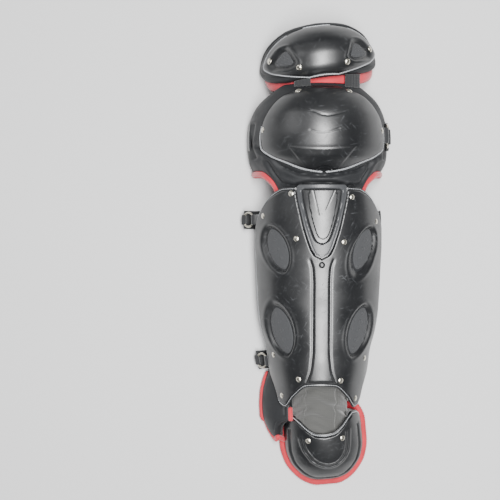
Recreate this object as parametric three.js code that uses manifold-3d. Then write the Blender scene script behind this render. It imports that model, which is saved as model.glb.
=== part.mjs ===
// Catcher leg guard lying on its back: thigh flap, knee cap, shin shell, ankle wings and toe cap.
// Millimetres. +Z is the front of the guard, +Y runs from the foot to the thigh, the floor is z = 0.
import * as THREE from "three";
import { mergeVertices } from "three/addons/utils/BufferGeometryUtils.js";
import Module from "manifold-3d";

const wasm = await Module();
wasm.setup();

// Walls and clearances
const gap = 0.3;
const seatRoom = 3 * gap;
const shellWall = 2.6;
const padWall = 13;
const liningWall = 2;
const clothWall = 3;
const bindingReach = 6;

// Shin
const shinLength = 290;
const shinTop = 86;
const shinHalfWidth = 89;
const shinDepth = 100;
const ridgeHalfWidth = 10;
const ridgeHeight = 2.2;

// Knee
const kneeLength = 147;
const kneeHalfWidth = 97;
const kneeRise = 8;
const kneeOverlap = 14;
const capLength = 112;
const capMargin = 15.5;
const capRise = 13;
const capCentre = { x: 3, y: 161 };

// Thigh
const thighLength = 84;
const thighHalfWidth = 80;
const thighDepth = 88;
const thighShellLength = 68;
const thighShellHalfWidth = 74.5;
const thighRise = 9;
const thighPlace = { x: 0.5, y: 257, turn: 7 };
const tabWidth = 21;
const tabSpacing = 66;
const tabCentre = 9;
const tabReach = 28;

// Windows, rivets and the insert on the shin
const upperWindow = { x: 57.5, y: 6, length: 53, width: 20, lean: 19 };
const lowerWindow = { x: 52, y: -101, length: 60, width: 22, lean: 15 };
const foamSink = 0.8;
const frameLength = 93.5;
const frameHalfWidth = 31.5;
const frameProud = 1.8;
const insertLength = 71;
const insertHalfWidth = 25.5;
const insertProud = 4.5;
const rivetRadius = 4.2;
const rivetHeight = 2.2;

// Ankle, tongue and toe
const ankleTop = -160;
const ankleLength = 91;
const ankleHalfWidth = 76;
const ankleDepth = 52;
const ankleWall = 9;
const hiddenWing = { width: 0.8, length: 0.42 };
const tongueLength = 84;
const tongueHalfWidth = 40;
const tongueDepth = 74;
const toeLength = 96;
const toeHalfWidth = 52;
const toeDepth = 60;
const toePadWall = 5;
const toePlace = { x: 9, y: -259, turn: 5 };
const toeBindingHeight = 7.5;
const toeBindingReach = 6;

// Straps and their metal
const strapWall = 2;
const calfStrapWidth = 25;
const kneeStrapWidth = 38;
const calfUpperY = 46;
const calfLowerY = -146;
const kneeY = 158;
const ringRadius = 9;
const ringWire = 1.6;
const foldRadius = 3.2;
const strapBend = 3;

const kneeDepth = shinDepth + kneeRise;
const capHalfWidth = kneeHalfWidth - capMargin;
const strapRoom = strapWall + 2 * gap;
const padOuter = shellWall + seatRoom;
const padInner = padOuter + padWall;
const liningOuter = padInner + gap;
const liningInner = liningOuter + liningWall;

const colours = {
  shell: { color: 0x1b1c1f, roughness: 0.3, metalness: 0 },
  pad: { color: 0x2b2c2e, roughness: 0.8, metalness: 0 },
  lining: { color: 0xe24a55, roughness: 0.9, metalness: 0 },
  foam: { color: 0x77787a, roughness: 0.9, metalness: 0 },
  frame: { color: 0x6e6f70, roughness: 0.6, metalness: 0 },
  cloth: { color: 0x333436, roughness: 0.95, metalness: 0 },
  webbing: { color: 0x1d1e20, roughness: 0.9, metalness: 0 },
  metal: { color: 0xc9c6bb, roughness: 0.35, metalness: 1 },
};

// Stations along a form. at runs from 0 at the foot end to 1 at the thigh end of the form's length,
// and half and crown are shares of its half width and of its depth.
const shinRows = [
  { at: 0.0, half: 0.7, crown: 0.82 },
  { at: 0.08, half: 0.72, crown: 0.83 },
  { at: 0.17, half: 0.775, crown: 0.85 },
  { at: 0.26, half: 0.82, crown: 0.87 },
  { at: 0.35, half: 0.9, crown: 0.89 },
  { at: 0.45, half: 0.955, crown: 0.91 },
  { at: 0.63, half: 0.985, crown: 0.95 },
  { at: 0.73, half: 1.0, crown: 0.97 },
  { at: 0.86, half: 1.0, crown: 0.99 },
  { at: 1.0, half: 0.95, crown: 1.0 },
];
const kneeRows = [
  { at: 0.0, half: 0.88, crown: 0.87 },
  { at: 0.12, half: 0.88, crown: 0.852 },
  { at: 0.25, half: 0.93, crown: 0.865 },
  { at: 0.36, half: 0.985, crown: 0.935 },
  { at: 0.56, half: 1.0, crown: 1.0 },
  { at: 0.72, half: 0.98, crown: 0.98 },
  { at: 0.86, half: 0.93, crown: 0.91 },
  { at: 1.0, half: 0.85, crown: 0.8 },
];
const thighRows = [
  { at: 0.0, half: 0.88, crown: 0.9 },
  { at: 0.13, half: 0.96, crown: 0.97 },
  { at: 0.27, half: 1.0, crown: 1.0 },
  { at: 0.42, half: 1.0, crown: 1.0 },
  { at: 0.6, half: 0.96, crown: 0.96 },
  { at: 0.8, half: 0.88, crown: 0.86 },
  { at: 1.0, half: 0.7, crown: 0.7 },
];
const ankleRows = [
  { at: 0.0, half: 0.82, crown: 0.84 },
  { at: 0.17, half: 0.93, crown: 0.92 },
  { at: 0.34, half: 0.99, crown: 0.97 },
  { at: 0.5, half: 1.0, crown: 1.0 },
  { at: 0.67, half: 0.99, crown: 1.0 },
  { at: 0.84, half: 0.95, crown: 1.0 },
  { at: 1.0, half: 0.88, crown: 1.0 },
];
const tongueRows = [
  { at: 0.0, half: 0.95, crown: 0.68 },
  { at: 0.35, half: 0.95, crown: 0.78 },
  { at: 0.7, half: 0.97, crown: 0.89 },
  { at: 1.0, half: 1.0, crown: 1.0 },
];
const toeRows = [
  { at: 0.0, half: 0.3, crown: 0.19 },
  { at: 0.05, half: 0.5, crown: 0.37 },
  { at: 0.14, half: 0.7, crown: 0.56 },
  { at: 0.32, half: 0.92, crown: 0.77 },
  { at: 0.53, half: 1.0, crown: 0.9 },
  { at: 0.74, half: 1.0, crown: 0.97 },
  { at: 1.0, half: 0.98, crown: 1.0 },
];

// Caps that stand on a pad: half is a share of the cap's half width, rise of its height over the pad.
const capRows = [
  { at: 0.0, half: 0.16, rise: 0.08 },
  { at: 0.04, half: 0.34, rise: 0.3 },
  { at: 0.11, half: 0.58, rise: 0.58 },
  { at: 0.2, half: 0.84, rise: 0.85 },
  { at: 0.3, half: 0.985, rise: 1.0 },
  { at: 0.42, half: 1.0, rise: 1.0 },
  { at: 0.6, half: 0.95, rise: 0.95 },
  { at: 0.76, half: 0.83, rise: 0.85 },
  { at: 0.88, half: 0.66, rise: 0.65 },
  { at: 0.95, half: 0.44, rise: 0.4 },
  { at: 1.0, half: 0.22, rise: 0.08 },
];
const thighCapRows = [
  { at: 0.0, half: 0.24, rise: 0.1 },
  { at: 0.05, half: 0.45, rise: 0.35 },
  { at: 0.13, half: 0.69, rise: 0.65 },
  { at: 0.25, half: 0.9, rise: 0.9 },
  { at: 0.4, half: 1.0, rise: 1.0 },
  { at: 0.6, half: 0.92, rise: 1.0 },
  { at: 0.79, half: 0.74, rise: 0.8 },
  { at: 0.92, half: 0.5, rise: 0.5 },
  { at: 1.0, half: 0.22, rise: 0.1 },
];

// Edges across a form. across runs from 0 at the crown to 1 at the side, and back is how far the
// edge stands back from the form's end, as a share of the form's length.
const shinShellTop = [
  { across: 0.0, back: 0.0 },
  { across: 0.38, back: 0.0 },
  { across: 0.47, back: 0.012 },
  { across: 0.56, back: 0.036 },
  { across: 0.67, back: 0.085 },
  { across: 0.75, back: 0.135 },
  { across: 0.8, back: 0.18 },
];
const shinShellFoot = [
  { across: 0.0, back: 0.11 },
  { across: 0.18, back: 0.105 },
  { across: 0.38, back: 0.053 },
  { across: 0.53, back: 0.002 },
  { across: 0.62, back: 0.012 },
  { across: 0.72, back: 0.08 },
  { across: 0.8, back: 0.15 },
];
const shinPadTop = [
  { across: 0.0, back: 0.05 },
  { across: 0.44, back: 0.05 },
  { across: 0.56, back: 0.053 },
  { across: 0.67, back: 0.09 },
  { across: 0.8, back: 0.165 },
  { across: 1.0, back: 0.22 },
];
const kneePadFoot = [
  { across: 0.0, back: 0.0 },
  { across: 0.42, back: 0.0 },
  { across: 0.47, back: 0.07 },
  { across: 0.56, back: 0.18 },
  { across: 0.7, back: 0.25 },
  { across: 1.0, back: 0.27 },
];
const kneePadTop = [
  { across: 0.0, back: 0.0 },
  { across: 0.4, back: 0.0 },
  { across: 0.6, back: 0.06 },
  { across: 0.8, back: 0.14 },
  { across: 1.0, back: 0.25 },
];
const thighPadTop = [
  { across: 0.0, back: 0.0 },
  { across: 0.45, back: 0.03 },
  { across: 0.75, back: 0.18 },
  { across: 1.0, back: 0.4 },
];
const thighPadFoot = [
  { across: 0.0, back: 0.07 },
  { across: 0.5, back: 0.07 },
  { across: 0.75, back: 0.11 },
  { across: 1.0, back: 0.22 },
];
const toeTop = [
  { across: 0.0, back: 0.26 },
  { across: 0.15, back: 0.24 },
  { across: 0.3, back: 0.16 },
  { across: 0.45, back: 0.055 },
  { across: 0.58, back: 0.0 },
  { across: 0.72, back: 0.01 },
  { across: 0.88, back: 0.08 },
  { across: 1.0, back: 0.2 },
];

/** A table's column at a place: cubic through the rows without overshoot, level beyond the ends. */
function valueAt(rows, key, column, place) {
  const last = rows.length - 1;
  if (place <= rows[0][key]) return rows[0][column];
  if (place >= rows[last][key]) return rows[last][column];
  const n = rows.findIndex((row) => row[key] > place) - 1;
  const rise = (i) => (rows[i + 1][column] - rows[i][column]) / (rows[i + 1][key] - rows[i][key]);
  const slope = (i) => {
    if (i === 0 || i === last) return rise(Math.min(i, last - 1));
    const [before, after] = [rise(i - 1), rise(i)];
    return before * after <= 0 ? 0 : (2 * before * after) / (before + after);
  };
  const span = rows[n + 1][key] - rows[n][key];
  const t = (place - rows[n][key]) / span;
  const start = rows[n][column] * (2 * t ** 3 - 3 * t ** 2 + 1) + slope(n) * span * (t ** 3 - 2 * t ** 2 + t);
  return start + rows[n + 1][column] * (3 * t ** 2 - 2 * t ** 3) + slope(n + 1) * span * (t ** 3 - t ** 2);
}

/** Mesh geometry from points and faces, turned so that its faces point out. */
function solidOf(points, faces) {
  let volume = 0;
  const [a, b, c] = [new THREE.Vector3(), new THREE.Vector3(), new THREE.Vector3()];
  for (const face of faces) {
    a.fromArray(points[face[0]]);
    b.fromArray(points[face[1]]);
    c.fromArray(points[face[2]]);
    volume += a.dot(b.cross(c));
  }
  const geometry = new THREE.BufferGeometry();
  geometry.setAttribute("position", new THREE.Float32BufferAttribute(points.flat(), 3));
  geometry.setIndex(faces.flatMap((face) => (volume < 0 ? [face[0], face[2], face[1]] : face)));
  return geometry;
}

/** A wall between two grids of points, closed round its four sides. */
function wallBetween(outer, inner) {
  const rows = outer.length;
  const columns = outer[0].length;
  const top = (i, j) => i * columns + j;
  const under = (i, j) => (rows + i) * columns + j;
  const faces = [];
  const quad = (a, b, c, d) => faces.push([a, b, c], [a, c, d]);
  for (let i = 0; i < rows - 1; i++) {
    for (let j = 0; j < columns - 1; j++) {
      quad(top(i, j), top(i, j + 1), top(i + 1, j + 1), top(i + 1, j));
      quad(under(i, j), under(i + 1, j), under(i + 1, j + 1), under(i, j + 1));
    }
    quad(top(i, 0), top(i + 1, 0), under(i + 1, 0), under(i, 0));
    quad(top(i, columns - 1), under(i, columns - 1), under(i + 1, columns - 1), top(i + 1, columns - 1));
  }
  for (let j = 0; j < columns - 1; j++) {
    quad(top(0, j), under(0, j), under(0, j + 1), top(0, j + 1));
    quad(top(rows - 1, j), top(rows - 1, j + 1), under(rows - 1, j + 1), under(rows - 1, j));
  }
  return solidOf([...outer.flat(), ...inner.flat()], faces);
}

/** An arched form: half ellipses whose width and height follow the form's table along y. */
function archForm({ rows, foot, length, halfWidth, depth, edge = strapRoom, ridge = null }) {
  const at = (y) => (y - foot) / length;
  const half = (y) => halfWidth * valueAt(rows, "at", "half", at(y));
  const crown = (y) => depth * valueAt(rows, "at", "crown", at(y));
  const point = (u, y, inset) => {
    const angle = (u * Math.PI) / 2;
    const x = (half(y) - inset) * Math.sin(angle);
    let z = edge + (crown(y) - inset - edge) * Math.cos(angle);
    const beside = ridge ? THREE.MathUtils.smoothstep(Math.abs(x), ridge.half, 1.4 * ridge.half) : 1;
    if (ridge) z += ridge.height * (1 - beside);
    return [x, y, z];
  };
  const across = (x, y) => (Math.asin(THREE.MathUtils.clamp(x / half(y), -1, 1)) * 2) / Math.PI;
  const height = (x, y, inset) => point(across(x * (half(y) / (half(y) - inset)), y), y, inset)[2];
  return { foot, length, half, crown, point, across, height };
}

/** A cap that stands on a pad: its inner face is the pad's surface lifted by a dome over the cap's width. */
function capForm({ rows, foot, length, halfWidth, rise, pad, padInset, centre = 0 }) {
  const at = (y) => (y - foot) / length;
  const half = (y) => halfWidth * valueAt(rows, "at", "half", at(y));
  const lift = (y) => rise * valueAt(rows, "at", "rise", at(y));
  const point = (u, y, inset) => {
    const angle = (u * Math.PI) / 2;
    const bed = pad.height(centre + (half(y) - shellWall) * Math.sin(angle), y, padInset);
    const dome = lift(y) * Math.cos(angle) ** 0.8 + (shellWall - inset) * Math.cos(angle);
    return [centre + (half(y) - inset) * Math.sin(angle), y, bed + seatRoom + dome];
  };
  const across = (x, y) => (Math.asin(THREE.MathUtils.clamp((x - centre) / half(y), -1, 1)) * 2) / Math.PI;
  return { foot, length, half, point, across };
}

/** Evenly spaced columns from one side to the other. */
function evenColumns(from, to, count) {
  return Array.from({ length: count + 1 }, (_, n) => from + ((to - from) * n) / count);
}

/** The same columns on both sides of the crown. */
function mirroredColumns(side) {
  return [...side.slice(1).reverse().map((u) => -u), ...side];
}

/**
 * A layer of a form between two insets, its ends shaped by the edge tables.
 * hem is a last step past the foot edge, topBy one past the top edge.
 */
function layer(form, shape) {
  const { outer, inner, columns, rows, top = null, foot = null, topBy = 0, hem = 0, endInset = 0 } = shape;
  const ends = (u) => {
    const back = (table) => (table ? valueAt(table, "across", "back", Math.abs(u)) * form.length : 0);
    return [form.foot + back(foot), form.foot + form.length - back(top) + topBy];
  };
  const grid = (inset, shrink) => {
    const row = (share, past) =>
      columns.map((u) => {
        const [low, high] = ends(u);
        return form.point(u, THREE.MathUtils.lerp(low + shrink, high - shrink, share) - past, inset);
      });
    const between = evenColumns(0, 1, rows).map((share) => row(share, 0));
    return hem > 0 ? [row(0, hem), ...between] : between;
  };
  return wallBetween(grid(outer, 0), grid(inner, endInset));
}

/** An upright prism over a plan outline. */
function prism(outline, low, high) {
  const shape = new THREE.Shape(outline.map(([x, y]) => new THREE.Vector2(x, y)));
  return new THREE.ExtrudeGeometry(shape, { depth: high - low, bevelEnabled: false }).translate(0, 0, low);
}

/** A solid for cutting and joining. */
function cuttable(geometry) {
  const bare = geometry.clone();
  bare.deleteAttribute("normal");
  bare.deleteAttribute("uv");
  const merged = mergeVertices(bare, 1e-4);
  const mesh = new wasm.Mesh({
    numProp: 3,
    vertProperties: new Float32Array(merged.attributes.position.array),
    triVerts: new Uint32Array(merged.index.array),
  });
  return new wasm.Manifold(mesh);
}

/** The geometry of a cut solid. */
function geometryOf(manifold) {
  const mesh = manifold.getMesh();
  const geometry = new THREE.BufferGeometry();
  geometry.setAttribute("position", new THREE.BufferAttribute(mesh.vertProperties, 3));
  geometry.setIndex(new THREE.BufferAttribute(mesh.triVerts, 1));
  return geometry;
}

/** Leaf outline: an ellipse drawn to soft points, leaning from the upright. side is -1 or 1. */
function leafOutline(window, side, grow = 0) {
  const corners = 16;
  const lean = THREE.MathUtils.degToRad(window.lean) * side;
  return evenColumns(0, 2 * Math.PI, corners)
    .slice(0, corners)
    .map((angle) => {
      const x = (window.width / 2 + grow) * Math.sign(Math.sin(angle)) * Math.abs(Math.sin(angle)) ** 1.25;
      const y = (window.length / 2 + grow) * Math.cos(angle);
      const turned = [x * Math.cos(lean) + y * Math.sin(lean), y * Math.cos(lean) - x * Math.sin(lean)];
      return [side * window.x + turned[0], window.y + turned[1]];
    });
}

/** Pushes every corner of a closed outline outwards by a distance. */
function grownOutline(outline, distance) {
  const count = outline.length;
  const signed = THREE.ShapeUtils.area(outline.map(([x, y]) => new THREE.Vector2(x, y)));
  return outline.map(([x, y], n) => {
    const [ax, ay] = outline[(n + count - 1) % count];
    const [bx, by] = outline[(n + 1) % count];
    const run = Math.hypot(bx - ax, by - ay) * Math.sign(signed);
    return [x + ((by - ay) / run) * distance, y - ((bx - ax) / run) * distance];
  });
}

const guard = new THREE.Group();

/** Adds a named mesh to a group. */
function add(name, geometry, colour, group = guard) {
  const mesh = new THREE.Mesh(geometry, new THREE.MeshStandardMaterial(colours[colour]));
  mesh.name = name;
  group.add(mesh);
  return mesh;
}

/** A domed rivet head standing square on a form's surface. */
function addRivet(name, form, x, y, group = guard) {
  const u = form.across(x, y);
  const step = 0.01;
  const place = new THREE.Vector3(...form.point(u, y, 0));
  const sideways = new THREE.Vector3(...form.point(u + step, y, 0)).sub(place);
  const lengthways = new THREE.Vector3(...form.point(u, y + step * form.length, 0)).sub(place);
  const normal = sideways.cross(lengthways).normalize();
  const profile = [
    new THREE.Vector2(0, 0),
    new THREE.Vector2(rivetRadius, 0),
    new THREE.Vector2(0.7 * rivetRadius, 0.75 * rivetHeight),
    new THREE.Vector2(0, rivetHeight),
  ];
  const rivet = add(name, new THREE.LatheGeometry(profile, 8), "metal", group);
  rivet.quaternion.setFromUnitVectors(new THREE.Vector3(0, 1, 0), normal);
  rivet.position.copy(place.addScaledVector(normal, gap));
}

// Shin: pad, lining, shell with windows, frame, insert and rivets

const shinFoot = shinTop - shinLength;
const shin = archForm({
  rows: shinRows, foot: shinFoot, length: shinLength, halfWidth: shinHalfWidth, depth: shinDepth,
});
const shinShell = archForm({
  rows: shinRows, foot: shinFoot, length: shinLength, halfWidth: shinHalfWidth, depth: shinDepth,
  ridge: { half: ridgeHalfWidth, height: ridgeHeight },
});
const padSide = [0, 0.16, 0.31, 0.44, 0.56, 0.69, 0.84, 1];
const shinPadFoot = [{ across: 0, back: (ankleTop + gap - shinFoot) / shinLength }];

function buildShinPad() {
  const shape = { columns: mirroredColumns(padSide), rows: 9, foot: shinPadFoot, top: shinPadTop };
  add("shin_pad", layer(shin, { ...shape, outer: padOuter, inner: padInner }), "pad");
  add("shin_lining", layer(shin, { ...shape, outer: liningOuter, inner: liningInner }), "lining");
}

/** Plan outline of the tapered frame or insert, its straight end at the shin's top. */
function taperOutline(length, halfWidth, end, grow = 0) {
  const side = [
    { at: 0.0, half: 0.93 },
    { at: 0.03, half: 1.0 },
    { at: 0.48, half: 0.78 },
    { at: 0.75, half: 0.56 },
    { at: 0.94, half: 0.32 },
  ];
  const right = side.map(({ at, half }) => [half * halfWidth, end - at * length]);
  const left = right.map(([x, y]) => [-x, y]).reverse();
  return grownOutline([...right, [0, end - length], ...left], grow);
}

function buildShinShell() {
  const side = [0, 0.07, 0.1, 0.17, 0.28, 0.4, 0.53, 0.62, 0.72, 0.8];
  const ends = { top: shinShellTop, foot: shinShellFoot };
  const columns = mirroredColumns(side);
  const whole = layer(shinShell, { outer: 0, inner: shellWall, columns, rows: 12, ...ends });
  const high = 2 * shinDepth;
  let shell = cuttable(whole).subtract(
    cuttable(prism(taperOutline(frameLength, frameHalfWidth, shinTop + shellWall, gap), 0, high))
  );
  for (const window of [upperWindow, lowerWindow]) {
    for (const sign of [-1, 1]) {
      shell = shell.subtract(cuttable(prism(leafOutline(window, sign), 0, high)));
    }
  }
  add("shin_shell", geometryOf(shell), "shell");
}

function buildWindowFoams() {
  const places = { upper: upperWindow, lower: lowerWindow };
  for (const [level, window] of Object.entries(places)) {
    for (const [name, sign] of [["left", -1], ["right", 1]]) {
      const reach = window.length / 2 / shinLength;
      const at = (window.y - shinFoot) / shinLength;
      const cover = layer(shin, {
        outer: foamSink, inner: shellWall, columns: evenColumns(0.2 * sign, 0.75 * sign, 6), rows: 6,
        top: [{ across: 0, back: 1 - at - reach }], foot: [{ across: 0, back: at - reach }],
      });
      const plug = prism(leafOutline(window, sign, -gap), 0, 2 * shinDepth);
      add(`shin_foam_${level}_${name}`, geometryOf(cuttable(cover).intersect(cuttable(plug))), "foam");
    }
  }
}

function buildShinFrame() {
  const columns = mirroredColumns([0, 0.08, 0.16, 0.26]);
  const end = shinTop + shellWall;
  const high = 2 * shinDepth;
  const topBy = shellWall;
  const slab = (outer, inner) => cuttable(layer(shin, { outer, inner, columns, rows: 6, topBy }));
  const insertEnd = end - (frameHalfWidth - insertHalfWidth);
  const frameBlock = cuttable(prism(taperOutline(frameLength, frameHalfWidth, end), 0, high));
  const insertOutline = (grow) => taperOutline(insertLength, insertHalfWidth, insertEnd, grow);
  const insertBlock = (grow) => cuttable(prism(insertOutline(grow), 0, high));
  const pocket = slab(-2 * insertProud, gap).intersect(insertBlock(gap));
  const frame = slab(-frameProud, shellWall).intersect(frameBlock).subtract(pocket);
  const insert = slab(-insertProud, 0).intersect(insertBlock(0));
  add("shin_frame", geometryOf(frame), "frame");
  add("shin_insert", geometryOf(insert), "shell");
}

// Rivets: share of the half width across, share of the length from the foot end.
const shinRivets = [
  { name: "top_left", across: -0.45, at: 0.97 },
  { name: "top_right", across: 0.45, at: 0.955 },
  { name: "side_left", across: -0.83, at: 0.875 },
  { name: "side_right", across: 0.83, at: 0.85 },
  { name: "mid_left", across: -0.36, at: 0.77 },
  { name: "mid_right", across: 0.32, at: 0.755 },
  { name: "ridge", across: 0, at: 0.653 },
  { name: "calf_left", across: -0.83, at: 0.24 },
  { name: "calf_right", across: 0.83, at: 0.225 },
  { name: "foot_left", across: -0.42, at: 0.14 },
  { name: "foot_right", across: 0.38, at: 0.135 },
  { name: "lobe_left", across: -0.77, at: 0.055 },
  { name: "lobe_right", across: 0.73, at: 0.045 },
];

function buildShinRivets() {
  for (const { name, across, at } of shinRivets) {
    const y = shinFoot + at * shinLength;
    addRivet(`shin_rivet_${name}`, shinShell, across * shinShell.half(y), y);
  }
}

// Knee: pad with wings, lining, cap and rivets

const kneeFoot = shinTop - kneeOverlap;
const knee = archForm({
  rows: kneeRows, foot: kneeFoot, length: kneeLength, halfWidth: kneeHalfWidth, depth: kneeDepth,
});
const cap = capForm({
  rows: capRows, foot: capCentre.y - capLength / 2, length: capLength, halfWidth: capHalfWidth, rise: capRise,
  pad: knee, padInset: padOuter - 2 * gap, centre: capCentre.x,
});

const kneeRivets = [
  { name: "upper", across: 0.78, at: 0.93 },
  { name: "side", across: 0.96, at: 0.5 },
];

/** A table's rivets in mirrored pairs on a cap. */
function addRivetPairs(group, prefix, form, table, centre = 0) {
  for (const { name, across, at } of table) {
    const y = form.foot + at * form.length;
    addRivet(`${prefix}_rivet_${name}_left`, form, centre - across * form.half(y), y, group);
    addRivet(`${prefix}_rivet_${name}_right`, form, centre + across * form.half(y), y, group);
  }
}

function buildKnee() {
  const shape = { columns: mirroredColumns(padSide), rows: 10, foot: kneePadFoot, top: kneePadTop };
  add("knee_pad", layer(knee, { ...shape, outer: padOuter, inner: padInner }), "pad");
  const lined = { ...shape, outer: liningOuter, inner: liningInner };
  add("knee_lining", layer(knee, lined), "lining");
  const side = [0, 0.15, 0.3, 0.45, 0.6, 0.74, 0.87, 1];
  const shell = layer(cap, {
    outer: 0, inner: shellWall, columns: mirroredColumns(side), rows: 12, endInset: shellWall / 2,
  });
  add("knee_cap", shell, "shell");
  addRivetPairs(guard, "knee", cap, kneeRivets, capCentre.x);
}

// Thigh: pad, lining, shell with windows, rivets and the two cloth tabs that carry it

const thighGroup = new THREE.Group();
thighGroup.position.set(thighPlace.x, thighPlace.y, 0);
thighGroup.rotation.z = THREE.MathUtils.degToRad(thighPlace.turn);
const thighFoot = -0.43 * thighLength;
const thigh = archForm({
  rows: thighRows, foot: thighFoot, length: thighLength, halfWidth: thighHalfWidth, depth: thighDepth,
});
const thighCap = capForm({
  rows: thighCapRows, foot: -0.4 * thighShellLength, length: thighShellLength, halfWidth: thighShellHalfWidth,
  rise: thighRise, pad: thigh, padInset: 0,
});
const thighWindow = [
  { across: 0.58, at: 0.29 },
  { across: 0.81, at: 0.34 },
  { across: 0.83, at: 0.39 },
  { across: 0.67, at: 0.55 },
  { across: 0.62, at: 0.55 },
  { across: 0.53, at: 0.32 },
];
const thighRivets = [
  { name: "inner", across: 0.5, at: 0.2 },
  { name: "outer", across: 0.9, at: 0.47 },
];

function buildThigh() {
  const columns = mirroredColumns(padSide);
  const pad = { columns, rows: 6, top: thighPadTop, foot: thighPadFoot };
  add("thigh_pad", layer(thigh, { ...pad, outer: 0, inner: padWall }), "pad", thighGroup);
  const inner = padWall + seatRoom + liningWall;
  const lining = layer(thigh, { ...pad, outer: padWall + seatRoom, inner, hem: bindingReach });
  add("thigh_lining", lining, "lining", thighGroup);
  const side = [0, 0.15, 0.3, 0.45, 0.6, 0.74, 0.87, 1];
  let shell = cuttable(layer(thighCap, {
    outer: 0, inner: shellWall, columns: mirroredColumns(side), rows: 11, endInset: shellWall / 2,
  }));
  for (const [name, sign] of [["left", -1], ["right", 1]]) {
    const outline = thighWindow.map(({ across, at }) => [
      sign * across * thighShellHalfWidth, thighCap.foot + at * thighShellLength,
    ]);
    const block = cuttable(prism(outline, 0, 2 * thighDepth));
    shell = shell.subtract(block);
    const columns = evenColumns(0.2 * sign, 0.7 * sign, 6);
    const cover = layer(thigh, { outer: -seatRoom - shellWall, inner: -seatRoom, columns, rows: 6 });
    const plug = cuttable(prism(grownOutline(outline, -gap), 0, 2 * thighDepth));
    add(`thigh_foam_${name}`, geometryOf(cuttable(cover).intersect(plug)), "foam", thighGroup);
  }
  add("thigh_shell", geometryOf(shell), "shell", thighGroup);
  addRivetPairs(thighGroup, "thigh", thighCap, thighRivets);
  guard.add(thighGroup);
}

// Ankle: a wing on each side with its lining, and the cloth tongue under the foot end of the shell

const wingFoot = [
  { across: 0.35, back: 0.5 },
  { across: 0.5, back: 0.46 },
  { across: 0.58, back: 0.4 },
  { across: 0.66, back: 0.26 },
  { across: 0.76, back: 0.09 },
  { across: 0.84, back: 0.0 },
  { across: 0.92, back: 0.05 },
  { across: 1.0, back: 0.28 },
];

function buildAnkle() {
  for (const [name, sign, share] of [["left", -1, { width: 1, length: 1 }], ["right", 1, hiddenWing]]) {
    const length = share.length * ankleLength;
    const wing = archForm({
      rows: ankleRows, foot: ankleTop - length, length,
      halfWidth: share.width * ankleHalfWidth, depth: share.width * ankleDepth,
    });
    const shape = { columns: evenColumns(0.35 * sign, sign, 8), rows: 7, foot: wingFoot };
    add(`ankle_wing_${name}`, layer(wing, { ...shape, outer: 0, inner: ankleWall }), "pad");
    const inner = ankleWall + seatRoom + liningWall;
    const lining = layer(wing, { ...shape, outer: ankleWall + seatRoom, inner, hem: bindingReach });
    add(`ankle_lining_${name}`, lining, "lining");
  }
}

const tongueTop = ankleTop - gap;
const tongue = archForm({
  rows: tongueRows, foot: tongueTop - tongueLength, length: tongueLength, halfWidth: tongueHalfWidth,
  depth: tongueDepth,
});

function buildTongue() {
  const shape = { columns: evenColumns(-0.57, 0.64, 6), rows: 4 };
  add("tongue", layer(tongue, { ...shape, outer: 0, inner: clothWall }), "cloth");
}

// Toe: cap, pad inside it, red binding round its rim and two rivets

const toeGroup = new THREE.Group();
toeGroup.position.set(toePlace.x, toePlace.y, 0);
toeGroup.rotation.z = THREE.MathUtils.degToRad(toePlace.turn);
const toe = archForm({
  rows: toeRows, foot: -0.53 * toeLength, length: toeLength, halfWidth: toeHalfWidth, depth: toeDepth,
  edge: toeBindingHeight + gap,
});

const toeRivet = { across: 0.43, at: 0.66 };

function buildToe() {
  const columns = mirroredColumns([0, 0.15, 0.3, 0.45, 0.58, 0.72, 0.86, 1]);
  const shellShape = { outer: 0, inner: shellWall, columns, rows: 9, top: toeTop };
  const shell = layer(toe, { ...shellShape, endInset: shellWall / 2 });
  add("toe_shell", shell, "shell", toeGroup);
  const padTop = [{ across: 0, back: 0.43 }];
  const padFoot = [{ across: 0, back: 0.12 }];
  const pad = layer(toe, {
    outer: padOuter, inner: padOuter + toePadWall, columns, rows: 7, top: padTop, foot: padFoot,
    endInset: toePadWall / 2,
  });
  add("toe_pad", pad, "cloth", toeGroup);
  const side = evenColumns(0, 0.92, 10).map((share) => {
    const y = toe.foot + share * (toeLength * (1 - toeTop[6].back));
    return [toe.half(y), y];
  });
  const horn = [
    [0.9 * toeHalfWidth, toe.foot + 0.97 * toeLength],
    [0.66 * toeHalfWidth, toe.foot + toeLength],
  ];
  const right = [[0, toe.foot], ...side, ...horn];
  const rim = [...right.slice(1).reverse().map(([x, y]) => [-x, y]), ...right];
  const outer = offsetLine(rim, toeBindingReach);
  const inner = offsetLine(rim, -shellWall - gap);
  const binding = prism([...outer, ...inner.reverse()], 0, toeBindingHeight);
  add("toe_binding", binding, "lining", toeGroup);
  for (const [name, sign] of [["left", -1], ["right", 1]]) {
    const y = toe.foot + toeRivet.at * toeLength;
    addRivet(`toe_rivet_${name}`, toe, sign * toeRivet.across * toeHalfWidth, y, toeGroup);
  }
  guard.add(toeGroup);
}

/** Moves every point of an open line sideways, to its right for a positive distance. */
function offsetLine(line, distance) {
  return line.map(([x, y], n) => {
    const [ax, ay] = line[Math.max(n - 1, 0)];
    const [bx, by] = line[Math.min(n + 1, line.length - 1)];
    const run = Math.hypot(bx - ax, by - ay);
    return [x + ((by - ay) / run) * distance, y - ((bx - ax) / run) * distance];
  });
}

// Cloth tabs between the thigh flap and the knee

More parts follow.
